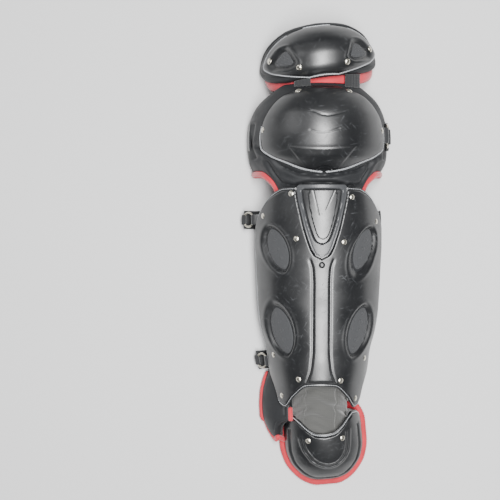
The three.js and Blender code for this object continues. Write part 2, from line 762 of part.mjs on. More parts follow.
function buildTabs() {
  const turn = -thighGroup.rotation.z;
  for (const [name, sign] of [["left", -1], ["right", 1]]) {
    const middle = tabCentre + (sign * tabSpacing) / 2;
    const kneeEnd = cap.foot + capLength + gap;
    const columns = evenColumns(middle - tabWidth / 2, middle + tabWidth / 2, 3);
    const sheet = (lift) =>
      [0, 0.5, 1].map((share) =>
        columns.map((x) => {
          const thighEnd = thighPlace.y - tabReach + (x - thighPlace.x) * Math.sin(-turn);
          const y = THREE.MathUtils.lerp(kneeEnd, thighEnd, share);
          const local = new THREE.Vector2(x - thighPlace.x, y - thighPlace.y);
          local.rotateAround(new THREE.Vector2(), turn);
          const onThigh = thigh.height(local.x, local.y, 0);
          const onKnee = knee.height(x, y, padOuter);
          return [x, y, Math.max(onThigh, onKnee) + gap + lift];
        })
      );
    add(`thigh_tab_${name}`, wallBetween(sheet(clothWall), sheet(0)), "cloth");
  }
}

// Straps: sewn to one side, round under the guard to a ring that a keeper holds on the other side

/** A band of webbing: a line in the x-z plane given a thickness, as wide along y as the strap. */
function webbing(line, width, wall) {
  const outline = [...offsetLine(line, wall / 2), ...offsetLine(line, -wall / 2).reverse()];
  const shape = new THREE.Shape(outline.map(([x, z]) => new THREE.Vector2(x, z)));
  const band = new THREE.ExtrudeGeometry(shape, { depth: width, steps: 2, bevelEnabled: false });
  return band.rotateX(Math.PI / 2).translate(0, width / 2, 0);
}

// side is the side of the ring, across its place on the pad, from 0 at the crown to 1 at the edge, and
// lean how far the ring leans out from the pad, in degrees.
const straps = [
  { name: "calf_upper", form: shin, y: calfUpperY, width: calfStrapWidth, side: -1, across: 0.9, lean: 38 },
  { name: "calf_lower", form: shin, y: calfLowerY, width: calfStrapWidth, side: -1, across: 0.9, lean: 38 },
  { name: "knee", form: knee, y: kneeY, width: kneeStrapWidth, side: 1, across: 0.81, lean: 0 },
];
const foldShare = 0.55;

function buildStrap({ name, form, y, width, side: ringSide, across: ringAcross, lean }) {
  const padInset = padOuter;
  const reach = form.half(y) - padInset;
  const floor = strapWall / 2;
  // A point at a distance outside the pad's side, and the direction up the side there.
  const onSide = (sign, u, distance) => {
    const [x, , z] = form.point(u, y, padInset);
    const [aboveX, , aboveZ] = form.point(u - 0.02, y, padInset);
    const up = new THREE.Vector2(aboveX - x, aboveZ - z).normalize();
    return { point: [sign * (x + up.y * distance), z - up.x * distance], up: [sign * up.x, up.y] };
  };
  const close = strapWall / 2 + seatRoom;
  const sewn = [0.84, 0.89, 0.94].map((u) => onSide(-ringSide, u, close).point);
  const risingSteps = [0.97, 0.91, 0.85, 0.79].filter((u) => u > ringAcross + 0.07);
  const rising = risingSteps.map((u) => onSide(ringSide, u, close).point);
  const under = (sign) => [
    [sign * (reach + 0.7 * strapBend), 0.93 * strapBend],
    [sign * (reach + 0.27 * strapBend), floor],
    [sign * (reach - strapBend), floor],
  ];
  const corner = [sewn[2], ...under(-ringSide), ...under(ringSide).reverse()];
  // The ring lies along the pad's side, or leans out from its upper wire.
  const out = THREE.MathUtils.degToRad(lean) * ringSide;
  const middle = onSide(ringSide, ringAcross, foldRadius + seatRoom + ringRadius * Math.sin(Math.abs(out)));
  const turned = new THREE.Vector2(...middle.up).rotateAround(new THREE.Vector2(), out);
  const centre = { point: middle.point, up: turned.toArray() };
  const wireAt = (along) => [centre.point[0] + centre.up[0] * along, centre.point[1] + centre.up[1] * along];
  // Spreads a piece made about y = 0 along the pad's taper and puts it in place.
  const place = (geometry) => {
    const points = geometry.attributes.position;
    for (let n = 0; n < points.count; n++) {
      const taper = (form.half(y + points.getY(n)) - padInset) / reach;
      points.setXYZ(n, points.getX(n) * taper, points.getY(n) + y, points.getZ(n));
    }
    return geometry;
  };
  const ring = (wire) => {
    const torus = new THREE.TorusGeometry(ringRadius, wire, 6, 14).scale(1, width / (2 * ringRadius + 6), 1);
    const lean = -Math.atan2(centre.up[1], centre.up[0]);
    return torus.rotateY(lean).translate(centre.point[0], y, centre.point[1]);
  };
  const room = cuttable(ring(ringWire + gap));
  const fold = ([x, z]) => {
    const roll = new THREE.CylinderGeometry(foldRadius, foldRadius, foldShare * width, 10);
    return cuttable(place(roll.translate(x, 0, z)));
  };
  const lowWire = wireAt(-ringRadius);
  const highWire = wireAt(ringRadius);
  const line = [sewn[0], sewn[1], ...corner, ...rising, lowWire];
  const band = cuttable(place(webbing(line, width, strapWall)));
  add(`${name}_strap`, geometryOf(band.add(fold(lowWire)).subtract(room)), "webbing");
  add(`${name}_ring`, ring(ringWire), "metal");
  add(`${name}_keeper`, geometryOf(fold(highWire).subtract(room)), "webbing");
}

buildShinPad();
buildShinShell();
buildWindowFoams();
buildShinFrame();
buildShinRivets();
buildKnee();
buildThigh();
buildTabs();
buildAnkle();
buildTongue();
buildToe();
straps.forEach(buildStrap);

// Puts the middle of the guard's footprint at the origin.
guard.updateMatrixWorld(true);
const whole = new THREE.Box3().setFromObject(guard, true);
guard.position.set(-(whole.min.x + whole.max.x) / 2, -(whole.min.y + whole.max.y) / 2, -whole.min.z);

export default guard;
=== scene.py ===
"""A catcher's leg guard lying on its back, seen from straight above, in the order that it is put together."""
import math
import bpy
import numpy as np
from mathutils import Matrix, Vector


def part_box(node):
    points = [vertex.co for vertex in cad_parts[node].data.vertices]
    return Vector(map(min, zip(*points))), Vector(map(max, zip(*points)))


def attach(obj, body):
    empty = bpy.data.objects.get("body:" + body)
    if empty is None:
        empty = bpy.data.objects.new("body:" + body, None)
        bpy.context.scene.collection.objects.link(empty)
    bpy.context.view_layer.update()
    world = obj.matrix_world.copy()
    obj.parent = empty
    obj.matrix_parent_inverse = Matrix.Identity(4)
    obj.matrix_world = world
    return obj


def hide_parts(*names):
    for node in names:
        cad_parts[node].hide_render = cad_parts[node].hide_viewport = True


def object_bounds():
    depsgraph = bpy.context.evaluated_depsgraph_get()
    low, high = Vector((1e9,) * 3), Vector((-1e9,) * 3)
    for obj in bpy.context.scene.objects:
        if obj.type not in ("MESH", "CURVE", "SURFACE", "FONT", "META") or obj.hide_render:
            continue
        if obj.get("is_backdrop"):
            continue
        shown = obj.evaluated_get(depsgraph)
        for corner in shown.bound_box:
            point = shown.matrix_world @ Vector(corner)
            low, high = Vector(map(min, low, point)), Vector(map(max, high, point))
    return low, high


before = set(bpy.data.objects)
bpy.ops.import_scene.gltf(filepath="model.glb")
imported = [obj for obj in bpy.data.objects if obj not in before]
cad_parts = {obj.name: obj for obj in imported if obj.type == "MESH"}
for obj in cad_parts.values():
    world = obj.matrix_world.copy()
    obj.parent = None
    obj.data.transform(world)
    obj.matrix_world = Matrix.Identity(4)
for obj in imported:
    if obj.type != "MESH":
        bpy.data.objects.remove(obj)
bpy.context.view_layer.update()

# The camera is held at standing height and points straight down, with the guard to the right of its axis.
# Lengths here are millimetres in the part's frame.
eye = (-89.6, 9.9, 1300.0)
half_view = 250 / 940
camera = bpy.data.objects.new("camera", bpy.data.cameras.new("camera"))
camera.location = [v / 1000 for v in eye]
camera.data.lens = camera.data.sensor_width / 2 / half_view
bpy.context.collection.objects.link(camera)
bpy.context.scene.camera = camera


# Floor and studio light: a pale sheet, one long softbox over the guard and a weaker one from the left.
# Each material is nodes on a Principled shader, and the finish of a thing is chosen by what it is made of.
def linear(code):
    """An sRGB hex colour as linear red, green, blue and alpha."""
    values = np.array([int(code[n:n + 2], 16) / 255 for n in (1, 3, 5)])
    low = values / 12.92
    high = ((values + 0.055) / 1.055) ** 2.4
    return (*np.where(values <= 0.04045, low, high), 1.0)


def node(tree, kind, links=(), **settings):
    """Adds a node, sets its sockets and properties by name, and links (socket name, source socket) pairs
    into it."""
    made = tree.nodes.new(kind)
    for key, value in settings.items():
        name = key.replace("_", " ")
        found = [s for s in made.inputs if s.name.lower() == name.lower() and s.enabled]
        if found:
            found[0].default_value = value
        else:
            setattr(made, key, value)
    for name, source in links:
        named = [s for s in made.inputs if s.name == name and s.enabled]
        tree.links.new(source, named[0] if named else made.inputs[name])
    return made


def finish_named(name, base, roughness, **settings):
    """A new material with its Principled shader and Object coordinates: (material, tree, shader,
    coordinates)."""
    material = bpy.data.materials.new(name)
    material.use_nodes = True
    tree = material.node_tree
    shader = tree.nodes["Principled BSDF"]
    shader.inputs["Base Color"].default_value = linear(base)
    shader.inputs["Roughness"].default_value = roughness
    for key, value in settings.items():
        shader.inputs[key.replace("_", " ")].default_value = value
    spot = node(tree, "ShaderNodeTexCoord").outputs["Object"]
    return material, tree, shader, spot


def grain(tree, spot, pitch, stretch=(1, 1, 1), turn=0.0, detail=3.0):
    """Noise with grains of about a pitch in millimetres, drawn out along an axis; gives its Fac socket."""
    turned = node(tree, "ShaderNodeMapping", [("Vector", spot)], Rotation=(0, 0, turn))
    mapped = node(tree, "ShaderNodeMapping", [("Vector", turned.outputs[0])], Scale=stretch)
    made = node(tree, "ShaderNodeTexNoise", [("Vector", mapped.outputs[0])], Scale=1000 / pitch,
                Detail=detail)
    return made.outputs["Fac"]


def graded(tree, source, low, high, start, end):
    """Maps a socket from low..high to start..end, held at both ends."""
    made = node(tree, "ShaderNodeMapRange", [(0, source)])
    for n, value in enumerate((low, high, start, end), 1):
        made.inputs[n].default_value = value
    return made.outputs[0]


def two_tone(tree, shader, factor, first, second):
    """Base colour that goes from one hex colour to another by a factor socket."""
    made = node(tree, "ShaderNodeMix", [("Factor", factor)], data_type="RGBA")
    made.inputs[6].default_value = linear(first)
    made.inputs[7].default_value = linear(second)
    tree.links.new(made.outputs[2], shader.inputs["Base Color"])


def bumped(tree, shader, source, height, strength=1.0, under=None):
    """Bump of a height in millimetres from a socket, over an earlier bump."""
    links = [("Height", source)] + ([("Normal", under)] if under else [])
    made = node(tree, "ShaderNodeBump", links, Strength=strength, Distance=height / 1000)
    tree.links.new(made.outputs[0], shader.inputs["Normal"])
    return made.outputs[0]


floor_finish, tree, shader, spot = finish_named("floor_paper", "#cccccc", 0.95)
bpy.ops.mesh.primitive_plane_add(size=8, location=(0, 0, -0.0005))
floor = bpy.context.object
floor.name = "floor"
floor.data.materials.append(floor_finish)
floor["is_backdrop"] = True

world = bpy.data.worlds.new("studio")
bpy.context.scene.world = world
world.use_nodes = True
world.node_tree.nodes["Background"].inputs["Color"].default_value = linear("#e8ebee")
world.node_tree.nodes["Background"].inputs["Strength"].default_value = 0.22


def softbox(name, place, aim, size, watts):
    """A rectangular area light at a place, facing an aim point, both in metres."""
    lamp = bpy.data.objects.new(name, bpy.data.lights.new(name, "AREA"))
    lamp.data.shape = "RECTANGLE"
    lamp.data.size, lamp.data.size_y = size
    lamp.data.energy = watts
    lamp.location = place
    track = Vector(aim) - Vector(place)
    lamp.rotation_euler = track.to_track_quat("-Z", "Y").to_euler()
    bpy.context.collection.objects.link(lamp)


softbox("softbox_over", (0.14, 0.0, 1.9), (0.14, 0.0, 0.0), (0.55, 1.9), 115)
softbox("softbox_left", (-1.6, 0.9, 1.2), (0.0, 0.0, 0.0), (1.2, 1.2), 9)


# Shin padding: a moulded foam body with a smooth black skin, arched round the leg from the ankle to
# the knee. It carries the shell, and a thin mesh lining is sewn to its inner face.
frame_low, frame_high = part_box("shin_frame")
datum = Vector(((frame_low.x + frame_high.x) / 2, frame_high.y - 0.0886, 0))
floor_room = 2.6
shell_wall = 2.6
pad_out = -3.5
pad_wall = 13
lining_out = -16.8
lining_wall = 2
shin_foot = -204
shin_length = 290
shin_half = 89
shin_crown = 100
shin_rows = np.array([
    (0.0, 0.7, 0.82), (0.08, 0.72, 0.83), (0.17, 0.775, 0.85), (0.26, 0.82, 0.87), (0.35, 0.9, 0.89),
    (0.45, 0.955, 0.91), (0.63, 0.985, 0.95), (0.73, 1.0, 0.97), (0.86, 1.0, 0.99), (1.0, 0.95, 1.0),
], dtype=[("at", float), ("half", float), ("crown", float)])
shin_pad_top = np.array([
    (0.0, 0.05), (0.44, 0.05), (0.56, 0.053), (0.67, 0.09), (0.8, 0.165), (1.0, 0.22),
], dtype=[("across", float), ("back", float)])


def read(table, column, place):
    """A cubic through a table's rows without overshoot, level beyond its ends; place may be an array."""
    x = table[table.dtype.names[0]]
    y = table[column]
    rise = np.diff(y) / np.diff(x)
    level = rise[:-1] * rise[1:] <= 0
    middle = np.where(level, 0, 2 * rise[:-1] * rise[1:] / np.where(level, 1, rise[:-1] + rise[1:]))
    slope = np.r_[rise[0], middle, rise[-1]]
    place = np.clip(place, x[0], x[-1])
    n = np.clip(np.searchsorted(x, place, "right") - 1, 0, len(x) - 2)
    span = x[n + 1] - x[n]
    t = (place - x[n]) / span
    start = y[n] * (2 * t**3 - 3 * t**2 + 1) + slope[n] * span * (t**3 - 2 * t**2 + t)
    return start + y[n + 1] * (3 * t**2 - 2 * t**3) + slope[n + 1] * span * (t**3 - t**2)


def arch(rows, foot, length, half_width, depth, edge=floor_room):
    """Half ellipses carried along y: x = half sin(a), z = edge + (crown - edge) cos(a), with a = u times 90
    degrees. half and crown come from the table, and out moves the ellipse outwards."""
    def sizes(y):
        at = (y - foot) / length
        return half_width * read(rows, "half", at), depth * read(rows, "crown", at)

    def point(u, y, out=0.0):
        half, crown = sizes(y)
        angle = u * np.pi / 2
        height = edge + (crown + out - edge) * np.cos(angle)
        return np.stack([(half + out) * np.sin(angle), y + 0 * u, height], -1)

    def across(x, y, out=0.0):
        return np.arcsin(np.clip(x / (sizes(y)[0] + out), -1, 1)) * 2 / np.pi

    return point, across, sizes


def patch(point, side, foot, length, low=None, high=None):
    """A stretch of a form between its edge tables: s runs 0..1 across from side to side, t from foot to
    top."""
    near, far = side if isinstance(side, tuple) else (-side, side)

    def surface(s, t, out=0.0):
        u = near + (far - near) * s
        start = foot + (read(low, "back", abs(u)) if low is not None else 0) * length
        end = foot + length - (read(high, "back", abs(u)) if high is not None else 0) * length
        return point(u, start + (end - start) * t, out)

    return surface


def steps(count, fine=0.006):
    """Shares from 0 to 1, evenly spaced, with four closer ones at each end for the rounded edge."""
    close = np.array([0.15, 0.4, 0.8, 1.4]) * fine
    return np.unique(np.r_[np.linspace(0, 1, count), close, 1 - close])


def reach_from_edge(points):
    """For each point of a grid, its distance along the surface to the nearest of the four edges."""
    found = []
    for axis in (0, 1):
        run = np.linalg.norm(np.diff(points, axis=axis), axis=-1).cumsum(axis)
        run = np.insert(run, 0, 0, axis)
        found += [run, run.take([-1], axis) - run]
    return np.min(found, 0)


def rounding(distance, radius):
    """How far a rounded edge falls back at a distance from the edge."""
    inside = radius - np.clip(distance, 0, radius)
    return np.sqrt(radius**2 - inside**2) - radius


def set_down(points, place=(0, 0), turn=0.0):
    """Millimetres of a piece's own drawing to metres of the frame, turned about z and moved first."""
    c, s = math.cos(math.radians(turn)), math.sin(math.radians(turn))
    x = points[..., 0] * c - points[..., 1] * s + place[0]
    y = points[..., 0] * s + points[..., 1] * c + place[1]
    return np.stack([x, y, points[..., 2]], -1) / 1000 + np.array(datum)


def piece(name, points, faces, finish, slot, nodes=(), smooth=40):
    """A mesh object from arrays, its faces turned outwards, riding on the guard in place of CAD nodes."""
    points = points.reshape(-1, 3)
    faces = np.asarray(faces)
    a, b, c = (points[faces[:, n]] for n in range(3))
    extra = (points[faces[:, 3]], ) if faces.shape[1] == 4 else ()
    volume = (a * np.cross(b, c)).sum() + sum((a * np.cross(c, d)).sum() for d in extra)
    mesh = bpy.data.meshes.new(name)
    mesh.from_pydata(points, [], faces if volume > 0 else faces[:, ::-1])
    mesh.polygons.foreach_set("use_smooth", np.ones(len(faces), bool))
    mesh.set_sharp_from_angle(angle=math.radians(smooth))
    made = bpy.data.objects.new(name, mesh)
    bpy.context.collection.objects.link(made)
    made.data.materials.append(finish)
    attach(made, "root")
    if nodes:
        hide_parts(*nodes)
    return made


def wall(name, outer, inner, finish, slot, nodes=(), smooth=40):
    """A closed wall between two grids of points, with a strip of faces round its four sides."""
    rows, columns = outer.shape[:2]
    index = np.arange(rows * columns).reshape(rows, columns)
    under = index + rows * columns

    def quads(a, b, c, d):
        return np.stack([a.ravel(), b.ravel(), c.ravel(), d.ravel()], -1)

    rim = np.r_[index[0, :], index[1:, -1], index[-1, -2::-1], index[-2::-1, 0]]
    faces = np.concatenate([
        quads(index[:-1, :-1], index[:-1, 1:], index[1:, 1:], index[1:, :-1]),
        quads(under[:-1, :-1], under[1:, :-1], under[1:, 1:], under[:-1, 1:]),
        quads(rim[:-1], rim[:-1] + rows * columns, rim[1:] + rows * columns, rim[1:]),
    ])
    points = np.concatenate([outer.reshape(-1, 3), inner.reshape(-1, 3)])
    return piece(name, points, faces, finish, slot, nodes, smooth)


def slab(name, surface, counts, out, thick, radius, finish, slot, nodes=(), relief=None, place=(0, 0),
         turn=0.0, gather=0.0):
    """A wall of a patch from out inwards by thick, with rounded edges. relief(x, y, edge distance) raises its
    outer face. gather draws the columns together at the crown: s + gather sin(2 pi s) / (2 pi)."""
    s, t = np.meshgrid(steps(counts[0]), steps(counts[1]))
    s = s + gather * np.sin(2 * np.pi * s) / (2 * np.pi)
    base = surface(s, t, out)
    edge = reach_from_edge(base)
    fall = rounding(edge, radius)
    raised = 0 if relief is None else relief(base[..., 0], base[..., 1], edge)
    outer = surface(s, t, out + fall + raised)
    inner = surface(s, t, np.minimum(out - thick - fall, out + fall + raised - 0.8))
    return wall(name, set_down(outer, place, turn), set_down(inner, place, turn), finish, slot, nodes)


def laid_cloth(surface, out, under):
    """Works out the flat width and length of cloth stretched over a patch, in metres; neither is
    kept."""
    s, t = np.meshgrid(np.linspace(0, 1, 40), np.linspace(0, 1, 40))
    points = surface(s, t, out) / 1000
    wide = np.linalg.norm(np.diff(points, axis=1), axis=-1)
    long = np.linalg.norm(np.diff(points, axis=0), axis=-1)
    wide, long = wide.sum(1).max(), long.sum(0).max()


# The padding's foam has a skin pressed in the mould: dull black, with a fine leathery grain, and
# rubbed smoother in places.
skin_finish, tree, shader, spot = finish_named("foam_skin", "#1d1e20", 0.62, Specular_IOR_Level=0.4)
worn = graded(tree, grain(tree, spot, 30), 0.35, 0.75, 0.5, 0.72)
tree.links.new(worn, shader.inputs["Roughness"])
skin_grain = bumped(tree, shader, grain(tree, spot, 1.1), 0.12, 0.5)
bumped(tree, shader, grain(tree, spot, 14), 0.9, 0.35, skin_grain)

# The lining is black warp-knit mesh with holes every 2.4 mm.
mesh_finish, tree, shader, spot = finish_named("lining_mesh", "#17181a", 0.9, Sheen_Weight=0.2)
holes = node(tree, "ShaderNodeTexVoronoi", [("Vector", spot)], Scale=1000 / 2.4, Randomness=0.2)
bumped(tree, shader, holes.outputs["Distance"], 0.8, 0.7)

shin_point, shin_across, shin_sizes = arch(shin_rows, shin_foot, shin_length, shin_half, shin_crown)
ankle_top = -160
ankle_line = (ankle_top + 0.3 - shin_foot) / shin_length
flat_foot = np.array([(0.0, ankle_line), (1.0, ankle_line)], dtype=[("across", float), ("back", float)])
shin_pad_patch = patch(shin_point, 1.0, shin_foot, shin_length, flat_foot, shin_pad_top)
shin_pad = slab("shin_padding", shin_pad_patch, (90, 70), pad_out, pad_wall, 4, skin_finish, "pad",
                ["shin_pad"])
shin_lining = slab("shin_lining_cloth", shin_pad_patch, (40, 36), lining_out, lining_wall, 0.9, mesh_finish,
                   "mesh", ["shin_lining"])
laid_cloth(shin_pad_patch, lining_out - lining_wall / 2, "shin_padding")


# Shin shell: one glossy black moulding over the padding, a flange sewn down all round, a raised strip
# down its ridge, and four leaf-shaped windows whose walls slope in to grey foam.
shell_side = 0.8
shin_shell_top = np.array([
    (0.0, 0.0), (0.38, 0.0), (0.47, 0.012), (0.56, 0.036), (0.67, 0.085), (0.75, 0.135), (0.8, 0.18),
], dtype=[("across", float), ("back", float)])
shin_shell_foot = np.array([
    (0.0, 0.11), (0.18, 0.105), (0.38, 0.053), (0.53, 0.002), (0.62, 0.012), (0.72, 0.08), (0.8, 0.15),
], dtype=[("across", float), ("back", float)])
windows = np.array([
    ("upper_left", -57.5, 6, 53, 20, -19, 0, 0), ("upper_right", 57.5, 6, 53, 20, 19, -5, -9),
    ("lower_left", -52, -101, 60, 22, -15, 0, 4), ("lower_right", 52, -101, 60, 22, 15, -2, 0),
], dtype=[("name", "U12"), ("x", float), ("y", float), ("length", float), ("width", float), ("lean", float),
          ("shift", float), ("drop", float)])
window_wall = 7.5
window_depth = 4.0
frame_pocket = (99, 34.5, 91)
ridge_rows = np.array([
    (-170.0, 17), (-160, 13), (-148, 10), (-120, 8), (-40, 8), (-20, 9), (-6, 13),
], dtype=[("y", float), ("half", float)])


def ease(low, high, value):
    """Smooth step from 0 at low to 1 at high."""
    t = np.clip((value - low) / (high - low), 0, 1)
    return t * t * (3 - 2 * t)


def bell(value, middle, width):
    """A bell of a value round its middle: exp(-((value - middle) / width)^2)."""
    return np.exp(-(((value - middle) / width) ** 2))


def leaf_radius(x, y, window, grow, moved=False):
    """1 on a pointed leaf's outline, less inside: the root of (across / half width)^1.6 + (along / half
    length)^2."""
    lean = math.radians(window["lean"])
    dx = x - window["x"] - (window["shift"] if moved else 0)
    dy = y - window["y"] - (window["drop"] if moved else 0)
    along = dx * math.sin(lean) + dy * math.cos(lean)
    across = dx * math.cos(lean) - dy * math.sin(lean)
    wide = np.abs(across) / (window["width"] / 2 + grow)
    return np.sqrt(wide**1.6 + (along / (window["length"] / 2 + grow)) ** 2)


def crease(x, y, points, width, depth):
    """A groove along a line of points: depth times a bell of the distance to the line."""
    line = np.array(points, float)
    nearest = np.full(np.shape(x), 1e9)
    for (ax, ay), (bx, by) in zip(line[:-1], line[1:]):
        run = (bx - ax) ** 2 + (by - ay) ** 2
        share = np.clip(((x - ax) * (bx - ax) + (y - ay) * (by - ay)) / run, 0, 1)
        nearest = np.minimum(nearest, np.hypot(x - ax - share * (bx - ax), y - ay - share * (by - ay)))
    return -depth * np.exp(-((nearest / width) ** 2))


def shin_relief(x, y, edge):
    """Flange 4 mm wide, body raised behind it, windows sunk, ridge strip raised between two fine grooves."""
    high = 1.6 * ease(4.0, 6.0, edge) - 0.5 * bell(edge, 3.9, 0.6)
    half = read(ridge_rows, "half", y)
    along = ease(3, 9, edge) * ease(-4, -14, y)
    high = high + along * 1.6 * ease(half + 2.2, half, abs(x))
    high = high - along * 0.9 * bell(abs(x) - half, 3.0, 1.8)
    for window in windows:
        inner = leaf_radius(x, y, window, 2.2)
        moved = leaf_radius(x, y, window, window_wall, moved=True)
        outer = np.minimum(moved, leaf_radius(x, y, window, 6.0))
        share = np.clip((inner - 1) / np.maximum(inner - outer, 1e-6), 0, 1)
        sunk = np.where(outer < 1, 1 - ease(0, 1, share), 0)
        sunk = np.where(inner < 1, 1, sunk)
        lip = 0.5 * bell(outer, 1.05, 0.08)
        high = high * (1 - sunk) + lip * (1 - sunk) - window_depth * sunk
    frame_room = ease(-0.4, 2.4, taper_half(y, *frame_pocket) - abs(x)) * ease(-10, -7.4, y)
    return high * (1 - frame_room) - 1.2 * frame_room


def taper_half(y, length, half_width, end):
    """Half width at y of a taper of a length and half width: straight end at the top, pointed foot."""
    table = np.array([
        (0.0, 0.9), (0.03, 1.0), (0.48, 0.78), (0.75, 0.56), (0.94, 0.32), (1.0, 0.0),
    ], dtype=[("at", float), ("half", float)])
    return half_width * read(table, "half", (end - y) / length)


# The shells are black polypropylene, polished by the mould: a clear gloss under hairline scratches and dust.
shell_finish, tree, shader, spot = finish_named("polypropylene_moulding", "#0e0f11", 0.24,
                                                Specular_IOR_Level=0.9)
scratches = []
for turn in (0.5, -0.8, 1.35):
    lines = grain(tree, spot, 0.8, (1, 0.05, 0.05), turn, 1.0)
    scratches.append(graded(tree, lines, 0.7, 0.78, 0.0, 1.0))
both = node(tree, "ShaderNodeMath", [(0, scratches[0]), (1, scratches[1])], operation="MAXIMUM").outputs[0]
both = node(tree, "ShaderNodeMath", [(0, both), (1, scratches[2])], operation="MAXIMUM").outputs[0]
dusty = graded(tree, grain(tree, spot, 45), 0.3, 0.7, 0.28, 0.44)
rough = node(tree, "ShaderNodeMath", [(0, both), (1, dusty)], operation="MULTIPLY_ADD")
rough.inputs[1].default_value = 0.3
tree.links.new(dusty, rough.inputs[2])
tree.links.new(rough.outputs[0], shader.inputs["Roughness"])
two_tone(tree, shader, both, "#0e0f11", "#3a3c3f")
bumped(tree, shader, grain(tree, spot, 22), 0.5, 0.25)

shin_shell_patch = patch(shin_point, shell_side, shin_foot, shin_length, shin_shell_foot, shin_shell_top)
slab("shin_shell_moulding", shin_shell_patch, (180, 230), 0, shell_wall, 1.2, shell_finish, "shell",
     ["shin_shell"], shin_relief, gather=0.35)


# Window foam: a soft grey pad behind each window, cut from sheet and glued to the padding. Its face
# is a field of small dots, raised by the mould.
foam_finish, tree, shader, spot = finish_named("window_foam", "#333436", 0.85, Sheen_Weight=0.1)
bumped(tree, shader, grain(tree, spot, 1.2), 0.25, 0.6)


def turns(count):
    """Angles of one full turn in even steps, in radians."""
    return np.linspace(0, 2 * np.pi, count + 1)[:-1]


def foam_in_leaf(window):
    """Rings of a leaf outline from its middle to its edge, on the shin's surface, with low dots 11 to 12 mm
    apart."""
    share, angle = np.meshgrid(np.linspace(0.02, 1, 30), turns(72))
    across = share * (window["width"] / 2 + 2.8) * np.sign(np.sin(angle)) * np.abs(np.sin(angle)) ** 1.25
    along = share * (window["length"] / 2 + 2.8) * np.cos(angle)
    lean = math.radians(window["lean"])
    x = window["x"] + across * math.cos(lean) + along * math.sin(lean)
    y = window["y"] + along * math.cos(lean) - across * math.sin(lean)
    dots = np.cos(across * np.pi / 11) ** 2 * np.cos(along * np.pi / 12) ** 2
    raised = 2.0 * ease(0.55, 0.9, dots) * ease(1.0, 0.86, share) * (1 if window["x"] > 0 else 0.35)
    top = shin_point(shin_across(x, y), y, raised - 3.0 - 1.2 * ease(0.9, 1.0, share))
    under = shin_point(shin_across(x, y), y, -4.3)
    return top, under


def close_rings(name, top, under, finish, slot, nodes):
    """A disc drawn as rings round a middle point, with an underside: the last angle joins the first."""
    turns, rings = top.shape[:2]
    index = np.arange(turns * rings).reshape(turns, rings)
    after = np.roll(index, -1, 0)
    below = index + turns * rings
    after_below = after + turns * rings
    quads = np.concatenate([
        np.stack([index[:, :-1], index[:, 1:], after[:, 1:], after[:, :-1]], -1).reshape(-1, 4),
        np.stack([below[:, :-1], after_below[:, :-1], after_below[:, 1:], below[:, 1:]], -1).reshape(-1, 4),
        np.stack([index[:, -1], below[:, -1], after_below[:, -1], after[:, -1]], -1),
    ])
    middles = 2 * turns * rings + np.arange(2)
    hubs = [top[:, 0].mean(0), under[:, 0].mean(0)]
    points = np.concatenate([top.reshape(-1, 3), under.reshape(-1, 3), hubs])
    hub = np.stack([np.full(turns, middles[0]), index[:, 0], after[:, 0], after[:, 0]], -1)
    hub_below = np.stack([np.full(turns, middles[1]), after_below[:, 0], below[:, 0], below[:, 0]], -1)
    triangles = np.concatenate([hub, hub_below])[:, :3]
    return mixed_piece(name, points, quads, triangles, finish, slot, nodes)


def mixed_piece(name, points, quads, triangles, finish, slot, nodes=(), smooth=40):
    """A piece of four-sided and three-sided faces, each four-sided one halved."""
    halves = np.concatenate([quads[:, [0, 1, 2]], quads[:, [0, 2, 3]], triangles])
    return piece(name, points, halves, finish, slot, nodes, smooth)


for window in windows:
    top, under = foam_in_leaf(window)
    foam = close_rings(f"window_foam_{window['name']}", set_down(top), set_down(under), foam_finish, "foam",
                       [f"shin_foam_{window['name']}"])


# Frame and insert at the top of the shin: a satin grey tapered frame, pressed into the shell, round a
# glossy black insert with a plain bevelled triangle.
frame_finish, tree, shader, spot = finish_named("satin_grey_moulding", "#3b3c3e", 0.34)
bumped(tree, shader, grain(tree, spot, 0.9), 0.08, 0.5)


frame_size = (93.5, 31.5, 88.6)
insert_size = (71, 25.5, 82.6)


def tapered(length, half_width, end):
    """Patch of the shin within a taper: s runs across between its sides, t from its foot to its straight
    end."""
    def surface(s, t, out=0.0):
        y = end - length + t * length
        x = taper_half(y, length, half_width, end) * (2 * s - 1)
        return shin_point(shin_across(x, y), y, out)

    return surface


def frame_relief(x, y, edge):
    """A pocket for the insert, and a fine line inside the rim."""
    inside = taper_half(y, *insert_size) + 0.6 - abs(x)
    pocket = ease(-1.2, 0.8, inside) * ease(10.6, 12.5, y) * ease(83.8, 82.4, y)
    return -2.8 * pocket - 0.35 * bell(edge, 2.2, 0.9)


def insert_relief(x, y, edge):
    """A bevelled rim, then a raised triangle with two facet lines."""
    triangle = taper_half(y + 2, 60, 19, 80) - abs(x - 1)
    raised = 1.2 * ease(0, 1.0, triangle) * ease(14, 16, y)
    lines = crease(x, y, [(-12, 84), (-4, 49)], 0.6, 0.35) + crease(x, y, [(16, 81), (5, 56)], 0.6, 0.35)
    return raised + lines - 1.1 * ease(2.4, 0, edge)


slab("insert_frame", tapered(*frame_size), (70, 90), 2.6, 4.7, 1.1, frame_finish, "frame", ["shin_frame"],
     frame_relief)
slab("insert_plate", tapered(*insert_size), (80, 90), 2.6, 2.4, 1.0, shell_finish, "shell", ["shin_insert"],
     insert_relief)


